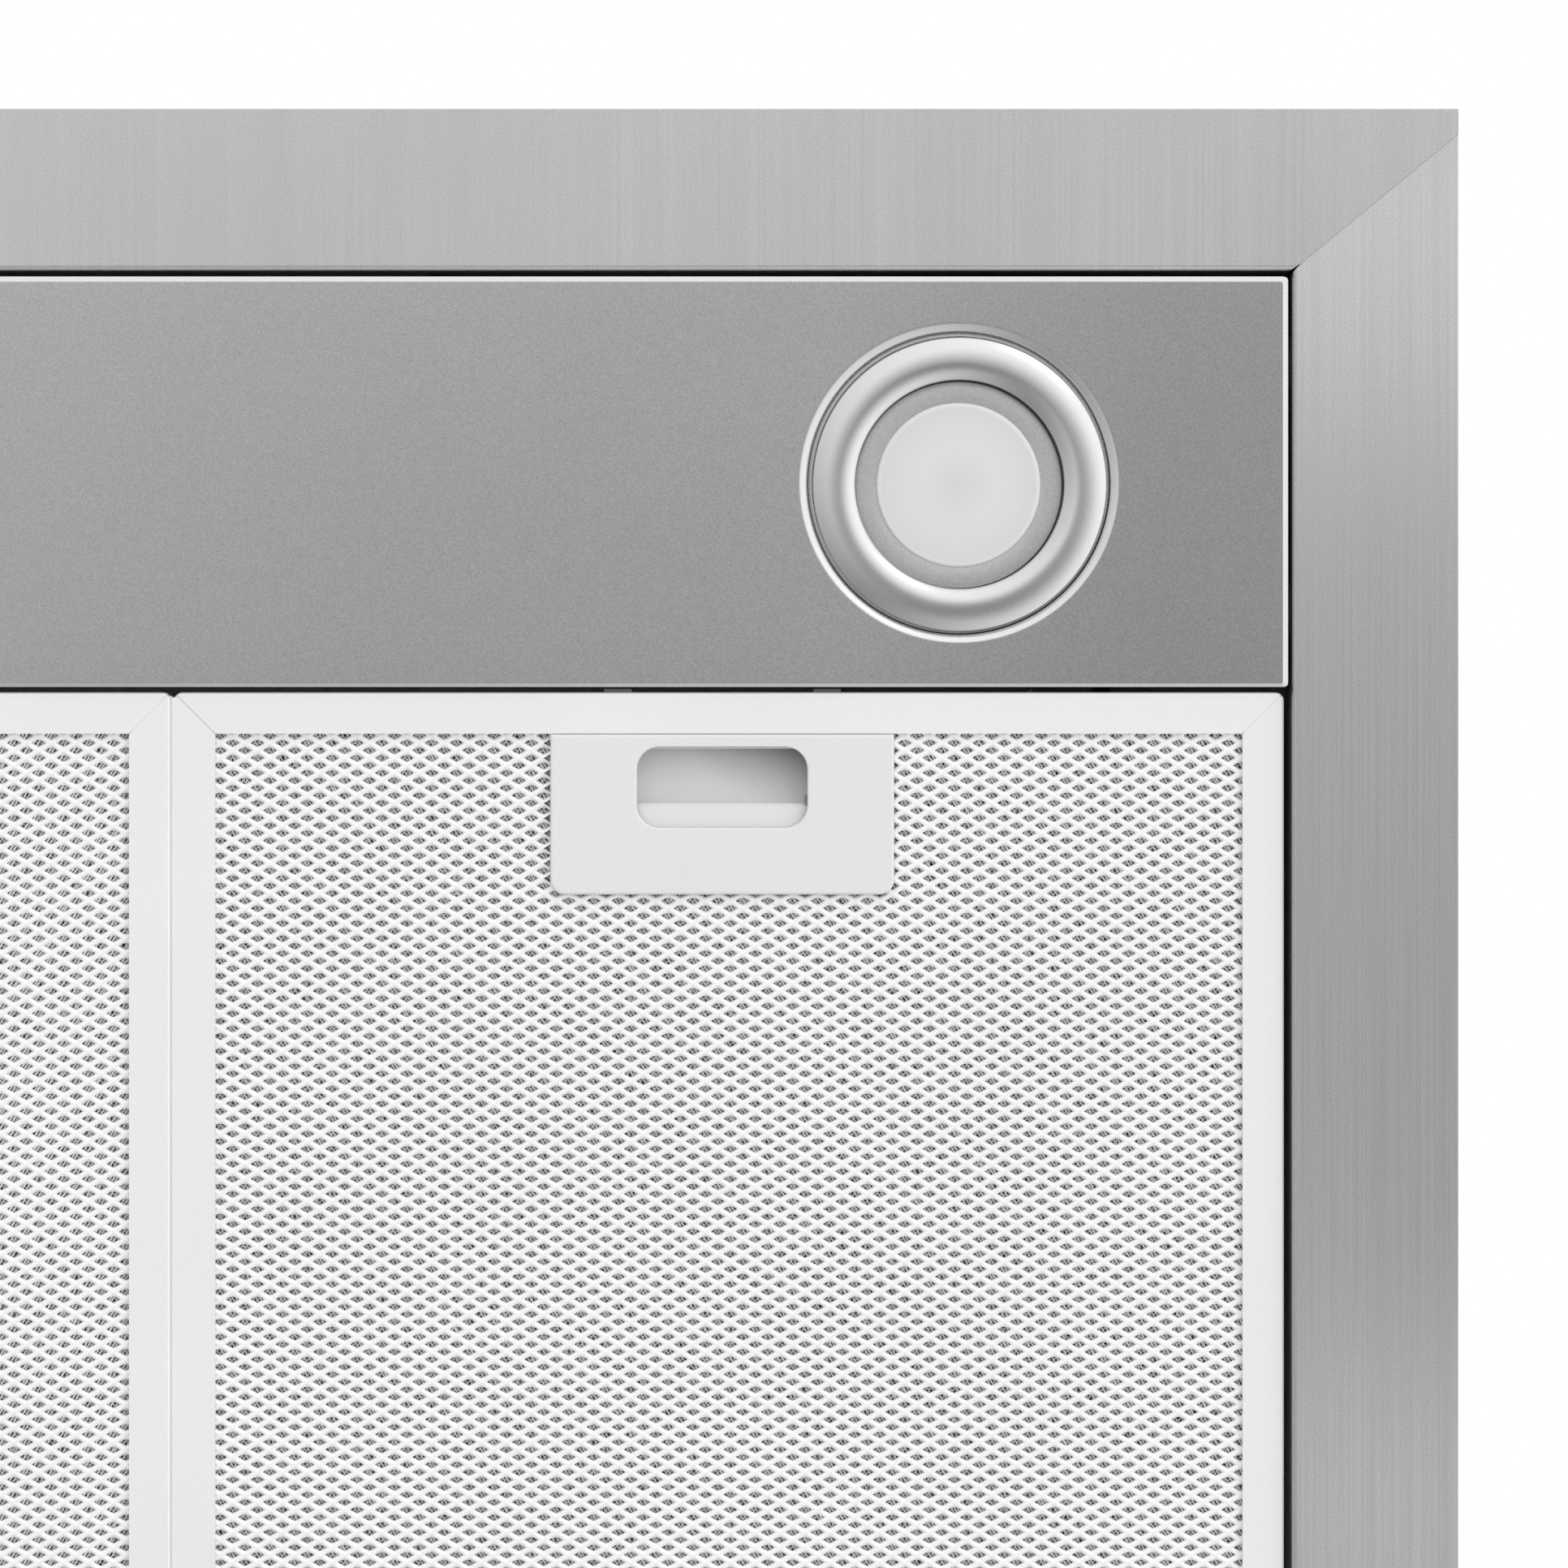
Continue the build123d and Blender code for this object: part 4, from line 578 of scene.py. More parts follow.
def side_shell_piece(name, s, node):
    run = [(XI, LIP_H), (XI, 0), (XO, 0), (XO, SKIRT_H), (HIP_X, TOP_H)]
    outer = rounded(run, [1.25, RIM_EDGE, 2.0], 9)
    inner = rounded(offset_run(run, -SHEET), [0.45, 0.05, 1.2], 9)
    # the skirt reaches forward to the front sheet just above the rim
    k = next(i for i in range(len(outer) - 1) if abs(outer[i][0] - XO) < 1e-3 and outer[i + 1][1] - outer[i][1] > 20)
    outer[k + 1:k + 1] = [(XO, 0.84), (XO, 0.90)]
    inner[k + 1:k + 1] = [(XO - SHEET, 0.88), (XO - SHEET, 0.93)]

    def ends(x, h):
        rear = 0.0
        if h > SKIRT_H - 2.2:
            return hip_y(min(x, XO)) + 0.03 if h > SKIRT_H - 0.3 else YF + SHEET, rear
        if x < XI + 1.4 and h < LIP_H + 1:
            rear = -1.0
            if h > 1.0:
                return YI + 0.7, rear
            return YI - (max(x, XI) - XI) * (YI - SEAM_Y) / (XO - XI) + seam_gap(XI) + 0.5 * max(0.0, (XI + 1.6 - x) / 1.6), rear
        if h < 0.9:
            return YI - (x - XI) * (YI - SEAM_Y) / (XO - XI) + seam_gap(x), rear
        return YF + SHEET + 0.02, rear

    b = Build()
    f_out = [(s * x, ends(x, h)[0], h) for x, h in outer]
    f_in = [(s * x, ends(x, h)[0], h) for x, h in inner]
    r_out = [(s * x, ends(x, h)[1], h) for x, h in outer]
    r_in = [(s * x, ends(x, h)[1], h) for x, h in inner]
    n = len(outer)
    faces = []
    for i in range(n - 1):
        faces.append([i, i + 1, 2 * n + i + 1, 2 * n + i])
        faces.append([n + i + 1, n + i, 3 * n + i, 3 * n + i + 1])
        faces.append([i + 1, i, n + i, n + i + 1])
        faces.append([2 * n + i, 2 * n + i + 1, 3 * n + i + 1, 3 * n + i])
    faces.append([0, 2 * n, 3 * n, n])
    faces.append([n - 1, 2 * n - 1, 4 * n - 1, 3 * n - 1])
    b.add(f_out + f_in + r_out + r_in, faces)
    ob = make_object(name, b.v, b.f, "canopy", STEEL_SIDE, (node,), 30.0)
    ob.data.materials.append(STEEL_RIM_PAINTED_REFLECTION)
    ob.data.materials.append(STEEL_BEND_PAINTED_SHADE)
    # the rim's underside takes the steel with the painted reflection, its inner bend the darker steel with painted
    # shade
    low = P(0, 0, 2.3)[2]
    for f in ob.data.polygons:
        if f.center.z < low and f.normal.z < 0.2:
            f.material_index = 2 if abs(f.center.x) * 1000 < XI + 0.95 else 1
    return ob


def seam_backing_piece():
    """The weld that closes each mitre just behind the face."""
    b = Build()
    for s in (1, -1):
        d = Vector((XO - XI, SEAM_Y - YI)).normalized()
        n = Vector((-d.y, d.x)) * 0.6
        loops = []
        for t, h0 in ((0.045, 0.50), (0.06, 0.32), (0.5, 0.32), (0.97, 0.36), (0.985, 0.55)):
            x, y = XI + (XO - XI) * t, YI + (SEAM_Y - YI) * t
            loops.append([(s * (x + n.x), y + n.y, h0), (s * (x - n.x), y - n.y, h0), (s * (x - n.x), y - n.y, 0.7), (s * (x + n.x), y + n.y, 0.7)])
        b.loops(loops, cap_first=True, cap_last=True)
    return make_object("seam_backing", b.v, b.f, "canopy", STEEL_SIDE, (), 40.0)


seam_backing_piece()
front_shell_piece()
side_shell_piece("canopy_right", 1, "right_shell")
side_shell_piece("canopy_left", -1, "left_shell")


# ------------------------------------------------------------------ lamp panel and lamps
LAMP_X, LAMP_Y = 183.7, -402.95          # middle of the pressed dish
TRIM_X, TRIM_Y = 183.85, -402.55         # the ring and the bulb sit a touch further back
BULB_X, BULB_Y = 183.65, -402.55


def lamp_panel_piece():
    x0, x1, y0, y1 = -260.5, 260.5, -451.1, -355.35
    t, r_edge = 0.8, 1.8
    b = Build()
    n = 8
    steps = 9
    outside = []
    # the fold: plain at the sides, flatter with a crisp edge at the front, narrow at the rear
    fold = []
    for k in range(11):
        u = k / 10
        front = 1.35 - 1.3 * u / 0.6 if u < 0.6 else 0.05 * (1 - u) / 0.4
        fold.append((1.3 * (1 - u), front, 0.8 * (1 - u), 1.0 + 0.46 * u))
    for side_in, front_in, rear_in, h in fold + [(0.0, 0.0, 0.0, 1.8), (0.0, 0.0, 0.0, 2.5)]:
        outside.append([(x, y, h) for x, y in rounded_rect(x0 + side_in, x1 - side_in, y0 + front_in, y1 - rear_in, max(0.2, 1.0 - 0.4 * side_in), n)])
    outside.append([(x, y, 12.9) for x, y in rounded_rect(x0, x1, y0, y1, 1.0, n)])
    outside.append([(x, y, 13.0) for x, y in rounded_rect(x0 + 0.1, x1 - 0.1, y0 + 0.1, y1 - 0.1, 0.9, n)])
    inside = [[(x, y, 13.0) for x, y in rounded_rect(x0 + t, x1 - t, y0 + t, y1 - t, 0.5, n)],
              [(x, y, 2.8) for x, y in rounded_rect(x0 + t, x1 - t, y0 + t, y1 - t, 0.5, n)],
              [(x, y, 2.1) for x, y in rounded_rect(x0 + t + 0.3, x1 - t - 0.3, y0 + t + 0.3, y1 - t - 0.3, 0.6, n)],
              [(x, y, 1.8) for x, y in rounded_rect(x0 + t + 1.0, x1 - t - 1.0, y0 + t + 1.0, y1 - t - 1.0, 0.4, n)]]
    b.loops(outside + inside)
    m = 112
    circle = lambda cx, r: [(cx + r * math.cos(2 * math.pi * i / m), LAMP_Y + r * math.sin(2 * math.pi * i / m)) for i in range(m)]
    fill_between(b, [(x, y) for x, y, h in outside[0]], [circle(LAMP_X, 38.0), circle(-LAMP_X, 38.0)], 1.0)
    fill_between(b, [(x, y) for x, y, h in inside[-1]], [circle(LAMP_X, 38.4), circle(-LAMP_X, 38.4)], 1.8)
    # the pressed dish: a rolled edge, a sloping wall, a flat seat
    dish = [(38.0, 1.0), (37.5, 1.0), (37.3, 1.01), (37.1, 1.05), (36.9, 1.12), (36.5, 1.285), (36.1, 1.46), (35.7, 1.64), (35.5, 1.74), (35.36, 1.85), (35.28, 2.1), (35.2, 2.9),
            (35.1, 3.08), (34.9, 3.12), (34.5, 3.1), (34.2, 3.0), (33.9, 2.7), (33.7, 2.6), (31.2, 2.6), (31.2, 3.4), (34.0, 3.5), (35.6, 3.5), (36.0, 3.2), (36.1, 2.5), (36.9, 2.05), (37.5, 1.82), (38.4, 1.8)]
    for s in (1, -1):
        b.lathe(s * LAMP_X, LAMP_Y, dish, m)
    ob = make_object("lamp_panel_piece", b.v, b.f, "canopy", PANEL, ("lamp_panel",), 40.0, merge=1e-6)
    ob.data.materials.append(PANEL_PAINTED_HIGHLIGHT)
    # the fold round the edge and the lamp dishes take the lighter steel: painted highlight
    for f in ob.data.polygons:
        x, y = abs(f.center.x) * 1000, f.center.y * 1000
        if f.center.z < P(0, 0, 2.05)[2] and (f.center.z > P(0, 0, 1.012)[2] or math.hypot(x - LAMP_X, y - LAMP_Y) < 37.0):
            f.material_index = 1
    return ob


lamp_panel_piece()


def lamp_trims_piece():
    b = Build()
    # the face is drawn by its slope, in degrees, from the inner edge over the crest to the outer edge
    slopes = ((24.42, -37), (26.3, -20), (28.5, 0), (31.5, 15.5), (34.0, 29), (34.15, 33))
    rs = np.concatenate([np.linspace(24.42, 28.5, 28), np.linspace(28.5, 34.15, 40)[1:]])
    tl = np.interp(rs, [a for a, _ in slopes], [b_ for _, b_ in slopes])
    hs = np.concatenate([[0.0], np.cumsum(np.tan(np.radians((tl[1:] + tl[:-1]) / 2)) * np.diff(rs))])
    hs = hs - hs.min() - 1.2
    face = [(float(r), float(h)) for r, h in zip(rs, hs)]
    e_in, e_out = face[0][1], face[-1][1]
    profile = face + [(34.24, e_out + 0.12), (34.26, e_out + 0.3), (34.26, 2.4), (34.1, 2.58), (30.9, 2.58), (30.9, 31.8), (30.7, 32.0), (30.1, 32.0), (29.9, 31.8), (29.9, 9.0), (25.8, 9.0), (25.75, 2.6), (24.5, 2.6), (24.34, 2.4), (24.34, e_in + 0.3), (24.36, e_in + 0.1)]
    for s in (1, -1):
        b.lathe(s * TRIM_X, TRIM_Y, profile, 128, wrap=True)
    return make_object("lamp_trims_piece", b.v, b.f, "canopy", TRIM, ("lamp_trims",), 40.0)


lamp_trims_piece()


def lamp_bulbs_piece():
    b = Build()
    profile = [(0, 4.25), (18.8, 4.25), (18.9, 4.1), (18.9, 3.2)] + [(19.0 + 5.05 * k / 14, 2.82 + 0.0276 * (19.0 + 5.05 * k / 14 - 21.5) ** 2) for k in range(15)] + [(24.13, 3.08), (24.19, 3.2), (24.2, 3.6), (24.4, 3.9), (24.95, 4.0), (24.95, 8.4), (24.7, 9.2),
               (22.4, 15.4), (18.6, 25.0), (13.1, 39.6), (12.4, 41.2), (10.4, 43.0), (9.5, 44.4), (9.5, 55.4), (9.1, 56.0), (0, 56.0)]
    for s in (1, -1):
        b.lathe(s * BULB_X, BULB_Y, profile, 112)
        for dx in (-5, 5):
            b.lathe(s * BULB_X + dx, BULB_Y, [(0, 55.9), (1.6, 55.9), (1.6, 60.6), (2.25, 60.8), (2.25, 62.6), (1.9, 63.0), (0, 63.0)], 24)
    return make_object("lamp_bulbs_piece", b.v, b.f, "canopy", BEZEL, ("lamp_bulbs",), 40.0)


lamp_bulbs_piece()


def lamp_lenses_piece():
    b = Build()
    face = [(18.2 * k / 22, 2.0 + 0.22 * (k / 22) ** 2) for k in range(0, 23)]
    profile = face + [(18.55, 2.26), (18.85, 2.36), (19.05, 2.52), (19.15, 2.75), (19.2, 3.0), (19.2, 3.3), (18.85, 3.5), (18.8, 4.1), (18.7, 4.2), (0, 4.2)]
    for s in (1, -1):
        b.lathe(s * BULB_X, BULB_Y, profile, 112)
    return make_object("lamp_lenses_piece", b.v, b.f, "canopy", LENS_PAINTED_RIM_HIGHLIGHT, ("lamp_lenses",), 45.0)


lamp_lenses_piece()

# ------------------------------------------------------------------ grease filters
FILT_X0, FILT_X1, FILT_FRONT, FILT_REAR = 0.35, 259.7, -354.15, -39.8
LATCH_X = 128.45
PITCH_X, ROW = 5.82, 1.758
PHASE_X, PHASE_Y = 246.73, -342.25


def lattice(px, row, x0, x1, y0, y1, ox, oy):
    """Centres of a staggered lattice inside a box."""
    j = np.arange(math.ceil((y0 - oy) / row), math.floor((y1 - oy) / row) + 1)
    out = []
    for k in j:
        shift = ox + (px / 2 if k % 2 else 0.0)
        i = np.arange(math.ceil((x0 - shift) / px), math.floor((x1 - shift) / px) + 1)
        out.append(np.stack([shift + i * px, np.full(len(i), oy + k * row)], 1))
    return np.concatenate(out)


def clear_of_latch(c, mx, my):
    return ~((np.abs(c[:, 0] - LATCH_X) < 36.6 + mx) & (c[:, 1] < -310.9 + my))


def face_mesh_part(centres, h0):
    """Expanded metal: one cell per opening. Strand crests on the cell's diamond edge, a steep arched edge in front, a slanted one behind."""
    a, b = PITCH_X / 2, ROW
    m = 12
    # along the diamond, starting at the front tip and turning towards +X
    tips = [(0, -b), (a, 0), (0, b), (-a, 0)]
    ring_a = []
    for k in range(4):
        p, q = Vector(tips[k]), Vector(tips[(k + 1) % 4])
        for t in (0, 1 / 3, 2 / 3):
            ring_a.append(tuple(p.lerp(q, t)))
    # the opening's edge, point by point
    hw, up, dn = 1.56, 0.72, 0.92
    edge = [(0, -up), (hw * 0.42, -up * 0.87), (hw * 0.80, -up * 0.42), (hw, 0.02), (hw * 0.68, dn * 0.36), (hw * 0.30, dn * 0.74), (0, dn),
            (-hw * 0.30, dn * 0.74), (-hw * 0.68, dn * 0.36), (-hw, 0.02), (-hw * 0.80, -up * 0.42), (-hw * 0.42, -up * 0.87)]
    rear = [0, 0, 0.15, 0.5, 0.9, 1.0, 1.0, 1.0, 0.9, 0.5, 0.15, 0]     # how far each point belongs to the slanted side
    za = [0.05 if k % 3 == 0 else 0.0 for k in range(12)]
    ring_b, zb, ring_c, zc = [], [], [], []
    for k in range(m):
        e, c, w = Vector(edge[k]), Vector(ring_a[k]), rear[k]
        ring_b.append(tuple(e.lerp(c, 0.42 * w)))
        zb.append(0.14 + 0.06 * w)
        ring_c.append(tuple(e.lerp(c, 0.10 * (1 - w)) * (1 - 0.10 * w)))
        zc.append(0.60 + 0.08 * w)
    ra, rb, rc = np.array(ring_a), np.array(ring_b), np.array(ring_c)
    n = len(centres)
    A = centres[:, None, :] + ra[None]
    B = centres[:, None, :] + rb[None]
    C = centres[:, None, :] + rc[None]
    pos = np.concatenate([A, B, C], 1)                                    # n, 36, 2
    z = np.concatenate([np.array(za), np.array(zb), np.array(zc)]) + h0
    xyz = np.concatenate([pos, np.broadcast_to(z[None, :, None], (n, 36, 1))], 2).reshape(-1, 3)
    quad = []
    for k in range(m):
        l = (k + 1) % m
        quad.append([k, l, m + l, m + k])
        quad.append([m + k, m + l, 2 * m + l, 2 * m + k])
    quads = (np.array(quad)[None] + (np.arange(n) * 36)[:, None, None]).reshape(-1, 4)
    return xyz, quads


def grid_object(name, xyz, quads, body, material, weld=True):
    """A large mesh from arrays, in mm and heights above the rim."""
    xyz = np.asarray(xyz, float).copy()
    if weld:
        key = np.round(xyz * 1000).astype(np.int64)
        _, first, inv = np.unique(key, axis=0, return_index=True, return_inverse=True)
        xyz, quads = xyz[first], inv.reshape(-1)[quads]
    xyz[:, 2] -= HOLE_H
    xyz /= 1000.0
    me = bpy.data.meshes.new(name)
    me.vertices.add(len(xyz))
    me.vertices.foreach_set("co", xyz.astype(np.float32).ravel())
    nq = len(quads)
    me.loops.add(nq * 4)
    me.loops.foreach_set("vertex_index", quads.astype(np.int32).ravel())
    me.polygons.add(nq)
    me.polygons.foreach_set("loop_start", (np.arange(nq) * 4).astype(np.int32))
    me.update(calc_edges=True)
    me.validate()
    me.shade_smooth()
    me.materials.append(material)
    # seen flat from below, so the sheet unrolls onto its own plan
    uv = me.uv_layers.new(name="OFBake", do_init=False)
    vi = np.empty(len(me.loops), np.int32)
    me.loops.foreach_get("vertex_index", vi)
    co = np.empty(len(me.vertices) * 3, np.float32)
    me.vertices.foreach_get("co", co)
    plan = co.reshape(-1, 3)[:, :2]
    plan = (plan - plan.min(0)) / np.maximum(np.ptp(plan, 0).max(), 1e-9)
    uv.uv.foreach_set("vector", (0.004 + 0.992 * plan[vi]).astype(np.float32).ravel())
    ob = bpy.data.objects.new(name, me)
    bpy.context.scene.collection.objects.link(ob)
    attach(ob, body)
    return ob


def ribbons(x0, x1, y0, y1, degrees, spacing, width, h, tilt, rng, step=5.0, keep=None):
    """Long wavy slanted ribbons side by side across a box, cut out where keep says no."""
    a = math.radians(degrees)
    u, n = np.array([math.cos(a), math.sin(a)]), np.array([-math.sin(a), math.cos(a)])
    mid = np.array([(x0 + x1) / 2, (y0 + y1) / 2])
    reach = math.hypot(x1 - x0, y1 - y0) / 2 + 6
    lines = np.arange(-reach, reach, spacing)
    t = np.arange(-reach, reach + step, step)
    sway = rng.normal(0, 0.16 * spacing, (len(lines), len(t)))
    slow = 0.9 * np.sin(t[None, :] / 31.0 + lines[:, None] / 47.0)
    across = lines[:, None] + sway + slow
    centre = mid + t[None, :, None] * u + across[:, :, None] * n
    half = width / 2 * (1 + rng.normal(0, 0.10, (len(lines), 1)))
    lift = h + rng.normal(0, 0.05, (len(lines), len(t)))
    lo = np.concatenate([centre - half[:, :, None] * n, (lift - tilt * width / 2)[:, :, None]], 2)
    hi = np.concatenate([centre + half[:, :, None] * n, (lift + tilt * width / 2)[:, :, None]], 2)
    rows, cols = len(lines), len(t)
    xyz = np.stack([lo, hi], 2).reshape(-1, 3)                    # index = (row * cols + col) * 2 + side
    r, c = np.meshgrid(np.arange(rows), np.arange(cols - 1), indexing="ij")
    i = ((r * cols + c) * 2).ravel()
    quads = np.stack([i, i + 2, i + 3, i + 1], 1)
    good = np.ones(len(xyz), bool)
    good &= (xyz[:, 0] > x0) & (xyz[:, 0] < x1) & (xyz[:, 1] > y0) & (xyz[:, 1] < y1)
    if keep is not None:
        good &= keep(xyz)
    quads = quads[good[quads].all(1)]
    used, inv = np.unique(quads, return_inverse=True)
    return xyz[used], inv.reshape(quads.shape)


def joined(parts):
    xyz, quads, n = [], [], 0
    for a, q in parts:
        xyz.append(a)
        quads.append(q + n)
        n += len(a)
    return np.concatenate(xyz), np.concatenate(quads)


def strands(centres, px, row, width, h, tilt, rng, wobble=0.0, bend=0.0):
    """Flat slanted ribbons along the two lower sides of each cell of a staggered lattice."""
    a, b = px / 2, row
    n = len(centres)
    xyz, quads = [], []
    for sx in (1, -1):
        p = centres + np.array([0.0, -b])
        q = centres + np.array([sx * a, 0.0])
        p = p + rng.normal(0, wobble, p.shape) if wobble else p
        q = q + rng.normal(0, wobble, q.shape) if wobble else q
        d = q - p
        d /= np.linalg.norm(d, axis=1)[:, None]
        nrm = np.stack([-d[:, 1], d[:, 0]], 1) * (1 if sx > 0 else -1)
        w = width * (1 + rng.normal(0, 0.12, n))[:, None] / 2
        zz = tilt * width / 2 * np.ones(n)
        lift = h + rng.normal(0, 0.06, n)
        c0 = np.concatenate([p - nrm * w, (lift - zz)[:, None]], 1)
        c1 = np.concatenate([q - nrm * w, (lift - zz)[:, None]], 1)
        c2 = np.concatenate([q + nrm * w, (lift + zz)[:, None]], 1)
        c3 = np.concatenate([p + nrm * w, (lift + zz)[:, None]], 1)
        base = len(xyz) * n * 4
        xyz.append(np.stack([c0, c1, c2, c3], 1).reshape(-1, 3))
        quads.append((np.arange(n)[:, None] * 4 + np.array([0, 1, 2, 3])[None]) + base)
    return np.concatenate(xyz), np.concatenate(quads)


def turned(c, degrees, about):
    a = math.radians(degrees)
    m = np.array([[math.cos(a), -math.sin(a)], [math.sin(a), math.cos(a)]])
    return (c - about) @ m.T + about


def filter_layers(side, s):
    body = "filter_" + side
    x0, x1, y0, y1 = FILT_X0 + 2.0, FILT_X1 - 2.0, FILT_FRONT + 2.0, FILT_REAR - 2.0
    c = lattice(PITCH_X, ROW, x0 + PITCH_X / 2, x1 - PITCH_X / 2, y0 + ROW, y1 - ROW, PHASE_X, PHASE_Y)
    c = c[clear_of_latch(c, PITCH_X / 2, ROW)]
    mirror = lambda xyz: xyz * np.array([s, 1, 1])
    flip = lambda q: q if s > 0 else q[:, ::-1]
    # face layer, in two halves
    mid = -190.0
    first = None
    for tag, part in (("front", c[c[:, 1] < mid]), ("rear", c[c[:, 1] >= mid])):
        xyz, q = face_mesh_part(part, 3.47)
        ob = grid_object(f"filter_mesh_{side}_{tag}", mirror(xyz), flip(q), body, MESH)
        first = first or ob
    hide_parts("filter_mesh_" + side)
    # finer layers behind it, and the coarse layer at the back
    rng = np.random.default_rng(11 if s > 0 else 23)
    about = np.array([130.0, -197.0])
    free = lambda v: clear_of_latch(v, 0.6, 0.8)
    fine = joined([ribbons(x0, x1, y0, y1, 57.0, 0.78, 0.36, 4.42, 0.8, rng, keep=free),
                   ribbons(x0, x1, y0, y1, -54.0, 0.86, 0.36, 4.78, 0.8, rng, keep=free)])
    grid_object(f"filter_core_{side}_1", mirror(fine[0]), flip(fine[1]), body, CORE, weld=False)
    px, row = 4.7, 1.43
    g = lattice(px, row, -40, 300, -400, 0, 3.1, 1.7)
    g = turned(g, 2.5, about)
    g = g + np.stack([0.5 * np.sin(g[:, 1] / 17.0), 0.35 * np.sin(g[:, 0] / 23.0)], 1)
    g = g[(g[:, 0] > x0 + px) & (g[:, 0] < x1 - px) & (g[:, 1] > y0 + 2 * row) & (g[:, 1] < y1 - 2 * row) & clear_of_latch(g, px, row + 0.8)]
    xyz, q = strands(g, px, row, 0.95, 6.1, 0.5, rng, wobble=0.05)
    grid_object(f"filter_core_{side}_2", mirror(xyz), flip(q), body, CORE, weld=False)
    fine = joined([ribbons(x0, x1, y0, y1, 41.0, 0.95, 0.42, 7.4, 0.7, rng, keep=free),
                   ribbons(x0, x1, y0, y1, -29.0, 0.95, 0.42, 7.9, 0.7, rng, keep=free)])
    grid_object(f"filter_core_{side}_3", mirror(fine[0]), flip(fine[1]), body, CORE, weld=False)
    back = lattice(PITCH_X, ROW, x0 + PITCH_X / 2, x1 - PITCH_X / 2, y0 + ROW, y1 - ROW, PHASE_X + 1.3, PHASE_Y + 0.6)
    back = back[clear_of_latch(back, PITCH_X / 2, ROW)]
    xyz, q = strands(back, PITCH_X, ROW, 1.25, 9.9, 0.35, rng)
    grid_object(f"filter_back_{side}", mirror(xyz), flip(q), body, MESH, weld=False)
    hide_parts("filter_core_" + side)


filter_layers("right", 1)
filter_layers("left", -1)
def mitre_fill_piece(side, s):
    """What closes each mitre just behind the face, so the joint shows as a fine line."""
    b = Build()
    for cx, sx in ((FILT_X0, 1), (FILT_X1, -1)):
        for cy, sy in ((FILT_FRONT, 1), (FILT_REAR, -1)):
            n = Vector((-sy, sx)).normalized() * 0.3
            h = 2.90 if s > 0 and sx > 0 and sy > 0 else 2.60     # one joint stands open a little
            loops = []
            for t, h0, h1 in ((0.8, 3.1, 3.3), (1.1, h, 3.3), (5.0, h, 3.3), (9.2, h, 3.3), (9.45, 3.0, 3.3)):
                x, y = cx + sx * t, cy + sy * t
                loops.append([(s * (x + n.x), y + n.y, h0), (s * (x - n.x), y - n.y, h0), (s * (x - n.x), y - n.y, h1), (s * (x + n.x), y + n.y, h1)])
            b.loops(loops, cap_first=True, cap_last=True)
    return make_object("filter_mitres_" + side, b.v, b.f, "filter_" + side, ANODISED, (), 40.0)


for side, s in (("right", 1), ("left", -1)):
    refine("filter_frame_" + side, ANODISED, bevel=0.10)
    mitre_fill_piece(side, s)


def filter_lips():
    """Thin lips on the filters' inner edges that close the joint between them."""
    b = Build()
    b.box(-0.55, -0.12, FILT_FRONT + 0.9, FILT_REAR - 0.9, 2.95, 9.5, 0.03)
    make_object("filter_lip_left", b.v, b.f, "filter_left", ANODISED, (), 30.0)
    b = Build()
    b.box(-0.08, 1.1, FILT_FRONT + 1.2, FILT_REAR - 1.2, 2.505, 3.25, 0.05)
    make_object("filter_lip_right", b.v, b.f, "filter_right", ANODISED, (), 30.0)


filter_lips()


